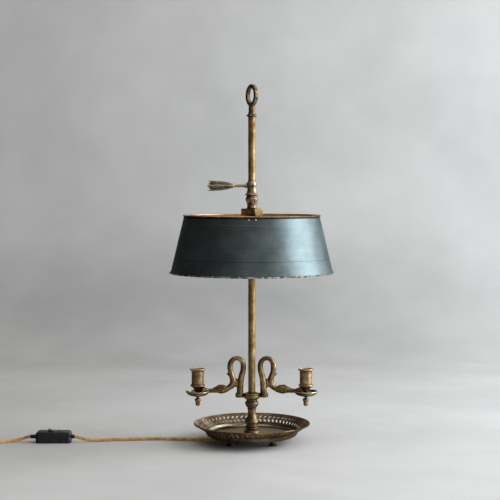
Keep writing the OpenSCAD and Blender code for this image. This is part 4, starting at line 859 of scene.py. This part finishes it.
def chased(material):
    """Adds to a brass what a piece's own tint attribute says: red for bare copper, as where the
    legs of a loop were brazed together, and green for the dark of the chasing."""
    f = Finish(material)
    tints = f.node("Attribute", attribute_name="tint").outputs["Color"]
    red, green, _ = f.node("SeparateColor", {"Color": tints}).outputs
    colour = f.mix(f.times(red, 0.75), f.has("Base Color"), (0.40, 0.185, 0.10))
    return f.paint(Base_Color=f.mix(f.times(green, 0.72), colour, (0.030, 0.019, 0.010)))


arm_brass = chased(old_brass(
    "arm brass", (0.062, 0.036, 0.014), (0.180, 0.116, 0.049), (0.50, 0.365, 0.190),
    (0.22, 0.36), copper=0.22, olive=0.20, cloud_size=0.021, hollow_patina_and_shade=0.34, pits=0.12, specks=0.35))
arm_right = cast_arm()
arm_right.name = arm_right.data.name = "cast_arm_right"
arm_left = add("cast_arm_left", arm_right.data.copy())
arm_left.data.name = "cast_arm_left"
mirrored = rows_of(arm_left.data.vertices, "co") * (-1, 1, 1)
arm_left.data.vertices.foreach_set("co", mirrored.reshape(-1))
arm_left.data.flip_normals()
stand_in(arm_right, arm_brass, "root", "aged_brass", "arm_right")
stand_in(arm_left, arm_brass, "root", "aged_brass", "arm_left")


# ---- Pans, cups and acorns ----
# Spun pans and turned candle cups, clamped on the arm's eye by the stem of the acorn below.
# The cups are brown with a rosy bloom, the pans dark inside; on both, a bright rim is partly wear
# and partly painted highlight.
def rim_wear_and_highlight(material, node, band, brass):
    """Bright brass within a band below the top of a node: partly wear on the rim, partly a
    painted highlight.
    """
    f = Finish(material)
    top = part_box(node)[1].z
    worn = f.between(f.xyz()[2], top - band, top - band / 2)
    return f.paint(Base_Color=f.mix(worn, f.has("Base Color"), brass))


coat(rim_wear_and_highlight(old_brass(
    "cup brass", (0.052, 0.031, 0.013), (0.290, 0.195, 0.102), (0.68, 0.515, 0.300),
    (0.34, 0.50), rings=0.45, copper=0.15, cloud_size=0.012, hollow_patina_and_shade=0.20),
    "cup_left", 0.0016, (0.62, 0.500, 0.320)), "cup_left", "cup_right")
coat(rim_wear_and_highlight(old_brass(
    "pan brass", (0.034, 0.022, 0.014), (0.140, 0.098, 0.060), (0.50, 0.410, 0.280),
    (0.24, 0.42), rings=0.3, olive=0.1, hollow_patina_and_shade=0.30),
    "pan_left", 0.0018, (0.62, 0.520, 0.360)), "pan_left", "pan_right")
coat(old_brass(
    "acorn brass", (0.075, 0.042, 0.024), (0.30, 0.190, 0.118), (0.54, 0.410, 0.290),
    (0.36, 0.54), copper=0.4, cloud_size=0.008, hollow_patina_and_shade=0.18), "pan_finials")


# ---- Rod and ring ----
# A plain drawn tube, golden brown with long dark streaks, and a cast ring to carry the lamp
# by, nearly black in its hollows and worn on its outer face.
coat(old_brass(
    "rod brass", (0.100, 0.053, 0.017), (0.300, 0.190, 0.074), (0.56, 0.415, 0.225),
    (0.48, 0.66), cloud_size=0.014, streaks=0.40, hollow_patina_and_shade=0.30, copper=0.10, pits=0.12), "rod")
coat(old_brass(
    "ring brass", (0.034, 0.021, 0.010), (0.135, 0.092, 0.050), (0.52, 0.430, 0.290),
    (0.30, 0.50), cloud_size=0.009, copper=0.20), "ring_finial")


# ---- Sliding collar and key ----
# A turned collar that the key clamps to the rod. The key is an arrow: a threaded shaft, and
# four feathers with chased barbs. The collar has rosy patches, and the key is a paler brass.
coat(old_brass(
    "collar brass", (0.046, 0.029, 0.016), (0.320, 0.238, 0.165), (0.76, 0.620, 0.470),
    (0.36, 0.52), copper=0.28, olive=0.15, cloud_size=0.007, spread=0.15),
    "clamp_collar", "carrier_neck")
KEY_Z = 0.4874
KEY_TIP, KEY_FERRULE, KEY_END = 0.0070, 0.03664, 0.0850  # distances from the rod's axis
SHAFT_R, BEAD_R, GROOVE_R = 0.0028, 0.0014, 0.0024
VANE_L, VANE_H = KEY_END - KEY_FERRULE - 0.001, 0.010
TAIL, BARB, CUT = 0.007, 0.0021, 0.00042  # notch in the end, spacing and depth of the barbs


def vane(turn, rows=150, sides=30):
    """One of four feathers: a thin sheet that widens from the ferrule to its swallow-tailed
    end, closed round its two faces. Both faces are cut with slanting barbs, whose depth is a
    sawtooth across them and fades towards the root and the rim. Returns its grid of points,
    and how deeply each is cut."""
    t = np.sin(np.linspace(0, np.pi / 2, sides)) ** 1.2
    end = VANE_L - TAIL * (1 - np.interp(t * 0.95, [0, 0.14, 0.44, 0.60, 0.92, 1.0],
                                         [0, 0, 0.83, 0, 1, 0.97]))
    x = np.linspace(0, 1, rows)[:, None] * end
    rim = np.interp(x / VANE_L, [0, 0.01, 0.15, 0.3, 0.45, 0.62, 0.75, 0.86, 1],
                    [0.36, 0.42, 0.62, 0.78, 0.87, 0.92, 0.965, 0.98, 0.96]) * VANE_H
    y = t * rim
    saw = ((x - 1.15 * y) / BARB) % 1
    cut = CUT * (1 - saw) * eased((y - 0.0022) / 0.0008) * eased((x - 0.004) / 0.006)
    ridge = 0.00022 * dip(t - 0.5, 0.07)
    half = 0.00118 - 0.00045 * t - cut * (t < 0.97) + ridge * (x > 0.01)
    half = half * np.sqrt(np.clip((1.0 - t) / 0.05, 0.09, 1))
    low = np.clip(cut / 0.0004, 0, 1)
    x, y, z, low = (np.concatenate([face, back[:, ::-1]], 1) for face, back in (
        (x, x), (y, y), (half, -half), (low, low)))
    c, s = math.cos(turn), math.sin(turn)
    return np.stack([-KEY_FERRULE - x, s * y - c * z, KEY_Z + c * y + s * z], -1), low


def spindle(profile, sides=40):
    """A profile of (radius, distance from the rod's axis) turned about the key's own axis."""
    p = np.array(profile)
    a = circle(sides)
    return np.stack([-p[:, 1:] + 0 * a, -p[:, :1] * np.cos(a), KEY_Z + p[:, :1] * np.sin(a)], -1)


bulge = np.radians(np.linspace(-80, 80, 9))
shaft = spindle([
    (0.0022, KEY_TIP), (SHAFT_R, KEY_TIP + 0.0012), (SHAFT_R, 0.013), (SHAFT_R, 0.0200),
    (GROOVE_R, 0.0204), (GROOVE_R, 0.0208), (SHAFT_R, 0.0212), (SHAFT_R, KEY_FERRULE - 0.0024),
    *((SHAFT_R + BEAD_R * math.cos(b), KEY_FERRULE - 0.0008 + BEAD_R * math.sin(b))
      for b in bulge),
    (SHAFT_R, KEY_FERRULE + 0.001), (0.0024, KEY_FERRULE + VANE_L - 0.003),
    (0.0016, KEY_FERRULE + VANE_L - 0.0012), (0.0002, KEY_FERRULE + VANE_L + 0.0004)])
vanes, cuts = zip(*(vane(math.radians(a)) for a in (0, 90, 180, 270)))
key = skin("key", [shaft, *vanes], smooth_below=35, seam=True)
low = np.concatenate([np.zeros(shaft[..., 0].size), *(c.reshape(-1) for c in cuts)])
tint(key.data, 0 * low, low)
stand_in(key, chased(old_brass(
    "key brass", (0.150, 0.118, 0.076), (0.540, 0.465, 0.325), (0.80, 0.715, 0.555),
    (0.34, 0.52), olive=0.2, cloud_size=0.010)), "key", "aged_brass", "arrow_key")


# ---- Shade carrier ----
# The gadrooned neck stands on a square block, brighter than the rest, which holds the strap
# that spans the shade.
coat(old_brass(
    "block brass", (0.085, 0.048, 0.018), (0.28, 0.185, 0.078), (0.62, 0.450, 0.220),
    (0.22, 0.40), copper=0.2, cloud_size=0.010, spread=0.14), "carrier_block")
coat(turned_brass, "shade_strap", "strap_screws")


# ---- Shade ----
# Sheet metal rolled to a cone, its two edges wired, painted dark green outside and gilt
# inside, with a thin gilt line below the top edge and a hair line above the lower one.
SHADE_LOW_Z, SHADE_HIGH_Z = (corner.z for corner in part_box("shade"))
WALL_LOW_R, WALL_HIGH_R = 0.1536, 0.1271  # to the middle of the sheet


def shade_paint():
    """Outside, dark green paint, cloudy and finely scratched round the shade. Inside the mid
    radius of the wall, and on top of the upper wire, copper-gilt. Height picks out the lines, and
    a dark band of painted shadow just below the upper wire; noise chips the paint along the lower
    wire and, less, the upper one. The gilt line weakens towards the right as painted light, where
    the highlight falls."""
    f = Finish("shade paint")
    x, y, z = f.xyz()
    wall = f.between(z, SHADE_LOW_Z, SHADE_HIGH_Z, WALL_LOW_R, WALL_HIGH_R)
    gilt_here = f.maths("MAXIMUM", f.maths("LESS_THAN", f.distance(x, y), wall),
                        f.maths("GREATER_THAN", z, SHADE_HIGH_Z - 0.0012))
    cloud = f.noise(26, 5, rough=0.65)
    scratch = f.noise(1, 3, (22, 22, 900), rough=0.7)
    dents = f.noise(14, 2, (1, 1, 1.6))
    green = f.ramp(f.weigh((cloud, 0.6), (scratch, 0.4)), (0.32, (0.098, 0.116, 0.114)),
                   (0.52, (0.140, 0.168, 0.172)), (0.70, (0.190, 0.232, 0.244)))

    def line(at, half, rag):
        """1 on a line round the shade at a height, with slightly ragged edges."""
        wander = f.times(f.minus(f.noise(60, 3), 0.5), rag)
        off = f.maths("ABSOLUTE", f.minus(f.plus(z, wander), at))
        return f.between(off, half * 0.6, half, 1.0, 0.0)

    gilt_line = f.times(line(SHADE_HIGH_Z - 0.0165, 0.0009, 0.0004),
                        f.between(f.noise(45, 4), 0.36, 0.56, 0.2, 0.8))
    # The gilt line fades out towards the right, where the highlight falls: painted light, not
    # paint loss.
    gilt_line = f.times(gilt_line, f.between(x, -0.02, 0.05, 1.0, 0.12))
    dark_line = line(SHADE_LOW_Z + 0.0285, 0.0006, 0.0004)
    # Painted shadow: a dark band just below the upper wire, where its bead shades the wall.
    painted_shadow_under_wire = line(SHADE_HIGH_Z - 0.0042, 0.0013, 0.0005)
    green = f.mix(gilt_line, green, (0.36, 0.215, 0.075))
    green = f.mix(f.times(dark_line, 0.55), green, (0.020, 0.026, 0.028))
    green = f.mix(f.times(painted_shadow_under_wire, 0.85), green, (0.014, 0.011, 0.009))
    chip = f.noise(150, 5, rough=0.75)
    for edge, reach, start in ((SHADE_LOW_Z, 0.0034, 0.49), (SHADE_HIGH_Z, 0.0030, 0.60)):
        off = f.maths("ABSOLUTE", f.minus(z, edge))
        near = f.between(off, reach * 0.6, reach, 1.0, 0.0)
        dark = f.between(chip, start - 0.04, start - 0.09)
        bare = f.between(chip, start, start + 0.04)
        green = f.mix(f.times(near, dark), green, (0.012, 0.012, 0.012))
        green = f.mix(f.times(near, bare), green, (0.66, 0.61, 0.53))
    gilt = f.ramp(cloud, (0.32, (0.34, 0.19, 0.095)), (0.52, (0.62, 0.385, 0.215)),
                  (0.72, (0.80, 0.56, 0.36)))
    dull = f.weigh((scratch, 0.5), (cloud, 0.5))
    return f.paint(
        Base_Color=f.mix(gilt_here, green, gilt), Metallic=f.plus(0.84, f.times(gilt_here, 0.06)),
        Roughness=f.between(dull, 0.35, 0.65, 0.33, 0.45),
        Specular_IOR_Level=0.4, Specular_Tint=(0.40, 0.40, 0.40),
        Normal=f.bump(dents, 0.35, 0.004, f.bump(scratch, 0.10, 0.0004)))


coat(shade_paint(), "shade")
coat(old_brass(
    "rivet brass", (0.10, 0.085, 0.055), (0.42, 0.38, 0.28), (0.75, 0.70, 0.56),
    (0.22, 0.40), cloud_size=0.004), "shade_rivets")


# ---- Electric lights ----
# Under the shade: a brass hub and two side tubes, two plain lamp holders, and opal bulbs. The
# pins of the plug have the same lacquered brass.
coat(old_brass(
    "lacquered brass", (0.19, 0.125, 0.045), (0.50, 0.365, 0.165), (0.74, 0.58, 0.31),
    (0.20, 0.34), rings=0.4, hollow_patina_and_shade=0.30),
    "lights_hub", "light_tubes", "holder_left", "holder_right", "plug_pins")


def opal_glass():
    """Milk glass: smooth, slightly warm and faintly cloudy, letting some light through."""
    f = Finish("opal glass")
    return f.paint(
        Base_Color=f.ramp(f.noise(30, 2), (0.3, (0.80, 0.785, 0.745)), (0.7, (0.87, 0.86, 0.83))),
        Roughness=f.between(f.noise(50, 2), 0.3, 0.7, 0.12, 0.2), Subsurface_Weight=0.3,
        Subsurface_Radius=(0.02, 0.018, 0.015), Coat_Weight=0.3)


coat(opal_glass(), "bulb_left", "bulb_right")


def inner_insulation():
    """Gold-brown plastic over the wires inside the rod, dusty and slightly ribbed."""
    f = Finish("inner insulation")
    return f.paint(
        Base_Color=f.ramp(f.noise(80, 3), (0.3, (0.30, 0.20, 0.05)), (0.7, (0.46, 0.33, 0.10))),
        Roughness=0.5, Normal=f.bump(f.noise(1, 2, (90, 90, 900)), 0.2, 0.0002))


coat(inner_insulation(), "inner_lead")


# ---- Table, backdrop and light ----
# A pale grey table top that curves up into a backdrop, with wide sides that only the camera
# sees, so that the lamp reflects a dark room with a large window on the right, a weak one
# behind that and a soft light above.
ROOM_GREY = (0.455, 0.450, 0.440)
LEFT, RIGHT, EDGE = -0.42, 0.92, 5.0
FRONT, BACK, BEND, HIGH = -4.0, 1.1, 0.6, 5.0


def paper():
    """Pale grey with a faint mottle, and painted light and shade: darker to the left and lighter
    towards the front, a darker band in the bend, and a painted shadow in a broad patch behind the
    lamp. Away from the lamp it fades into the even grey of the room, and from behind it is
    see-through."""
    f = Finish("grey paper")
    x, y, _ = f.xyz()
    broad = f.between(f.noise(2.1, 3, (1, 1.4, 1), rough=0.55), 0.3, 0.7, -0.050, 0.050)
    mottle = f.between(f.noise(7, 4, rough=0.6), 0.3, 0.7, -0.020, 0.020)
    # Painted light: darker to the left, lighter towards the front.
    level = f.plus(f.between(x, -0.75, 0.85, 0.555, 0.635), f.plus(broad, mottle),
                   f.between(y, -0.10, -0.42, 0, 0.06))
    # Painted shade: a darker band along the bend, and a painted shadow behind the lamp.
    for centre, reach, depth in (((0, 1.36, 0.12), (9.0, 0.52, 0.22), -0.110),
                                 ((0.02, 1.60, 0.24), (0.44, 0.90, 0.20), -0.085)):
        level = f.plus(f.times(f.bell(centre, reach), depth), level)
    grey = f.node("CombineColor", {"Red": level, "Green": level, "Blue": level})
    warm = f.mix(1.0, grey.outputs["Color"], (1.0, 0.962, 0.930), "MULTIPLY")
    f.paint(Base_Color=warm, Roughness=0.95, Specular_IOR_Level=0.1)
    away = f.maths("MAXIMUM", f.between(f.maths("ABSOLUTE", x), 0.92, 1.6),
                   f.between(y, -0.9, -1.9))
    seen = f.node("LightPath").outputs["Is Camera Ray"]
    even = f.node("Emission", {"Color": (*ROOM_GREY, 1)}).outputs[0]
    shares = {0: f.times(away, seen), 1: f.surface.outputs[0], 2: even}
    shares = {0: f.node("NewGeometry").outputs["Backfacing"],
              1: f.node("MixShader", shares).outputs[0],
              2: f.node("BsdfTransparent").outputs[0]}
    whole = f.node("MixShader", shares).outputs[0]
    f.join(f.tree.nodes["Material Output"].inputs["Surface"], whole)
    return f.material


grey_paper = paper()


def backdrop(name, *spans):
    """Sheets side by side, each between two values of x. They lie flat to behind the lamp and
    turn up there by a quarter circle."""
    a = np.linspace(0, np.pi / 2, 24)
    y = np.concatenate([[FRONT, 0.0], BACK + BEND * np.sin(a), [BACK + BEND]])
    z = np.concatenate([[0.0, 0.0], BEND - BEND * np.cos(a), [HIGH]])
    x = np.array(spans)[:, None, :]
    points = np.stack(np.broadcast_arrays(x, y[None, :, None], z[None, :, None]), -1)
    i = np.arange(len(y) - 1) * 2 + 2 * len(y) * np.arange(len(spans))[:, None]
    mesh = bpy.data.meshes.new(name)
    mesh.from_pydata(points.reshape(-1, 3).tolist(), [],
                     (i.reshape(-1, 1) + [0, 1, 3, 2]).tolist())
    mesh.shade_smooth()
    mesh.materials.append(grey_paper)
    piece = add(name, mesh)
    return piece


backdrop("table_top", (LEFT, RIGHT))
sides = backdrop("table_sides", (-EDGE, LEFT), (RIGHT, EDGE))
sides.visible_diffuse = sides.visible_glossy = sides.visible_shadow = False
sides.visible_transmission = sides.visible_volume_scatter = False


def window(name, at, to, size, watts, colour):
    """An area light at one point, facing another, which the camera doesn't see."""
    light = bpy.data.lights.new(name, "AREA")
    light.shape = "RECTANGLE"
    light.size, light.size_y = size
    light.energy = watts
    light.color = colour
    lamp = add(name, light)
    lamp.location = at
    away = np.array(to, float) - np.array(at, float)
    flat = math.hypot(away[0], away[1])
    lamp.rotation_euler = (math.atan2(flat, -away[2]), 0, math.atan2(-away[0], away[1]))
    lamp.visible_camera = False


window("right window", (2.04, -0.16, 0.98), (0, 0, 0.32), (1.8, 2.1), 76, (0.83, 0.935, 1.0))
window("back window", (1.75, 1.15, 0.80), (0, 0, 0.30), (1.1, 1.6), 6, (0.86, 0.945, 1.0))
window("soft top", (0.1, -0.1, 2.6), (0, 0, 0.2), (2.4, 2.4), 20, (1.0, 0.985, 0.96))


def room():
    """The room round the table: dark on the left and brighter towards the right, but an even
    grey where the camera sees it."""
    world = bpy.data.worlds.new("room")
    f = Finish(world)
    x = f.xyz(f.node("TexCoord").outputs["Generated"])[0]
    seen = f.node("LightPath").outputs["Is Camera Ray"]
    colour = f.mix(seen, f.between(x, -0.75, 0.9, 0.035, 0.58), ROOM_GREY)
    f.join(f.tree.nodes["Background"].inputs["Color"], colour)
    bpy.context.scene.world = world


room()
bpy.context.scene.view_settings.view_transform = "Standard"
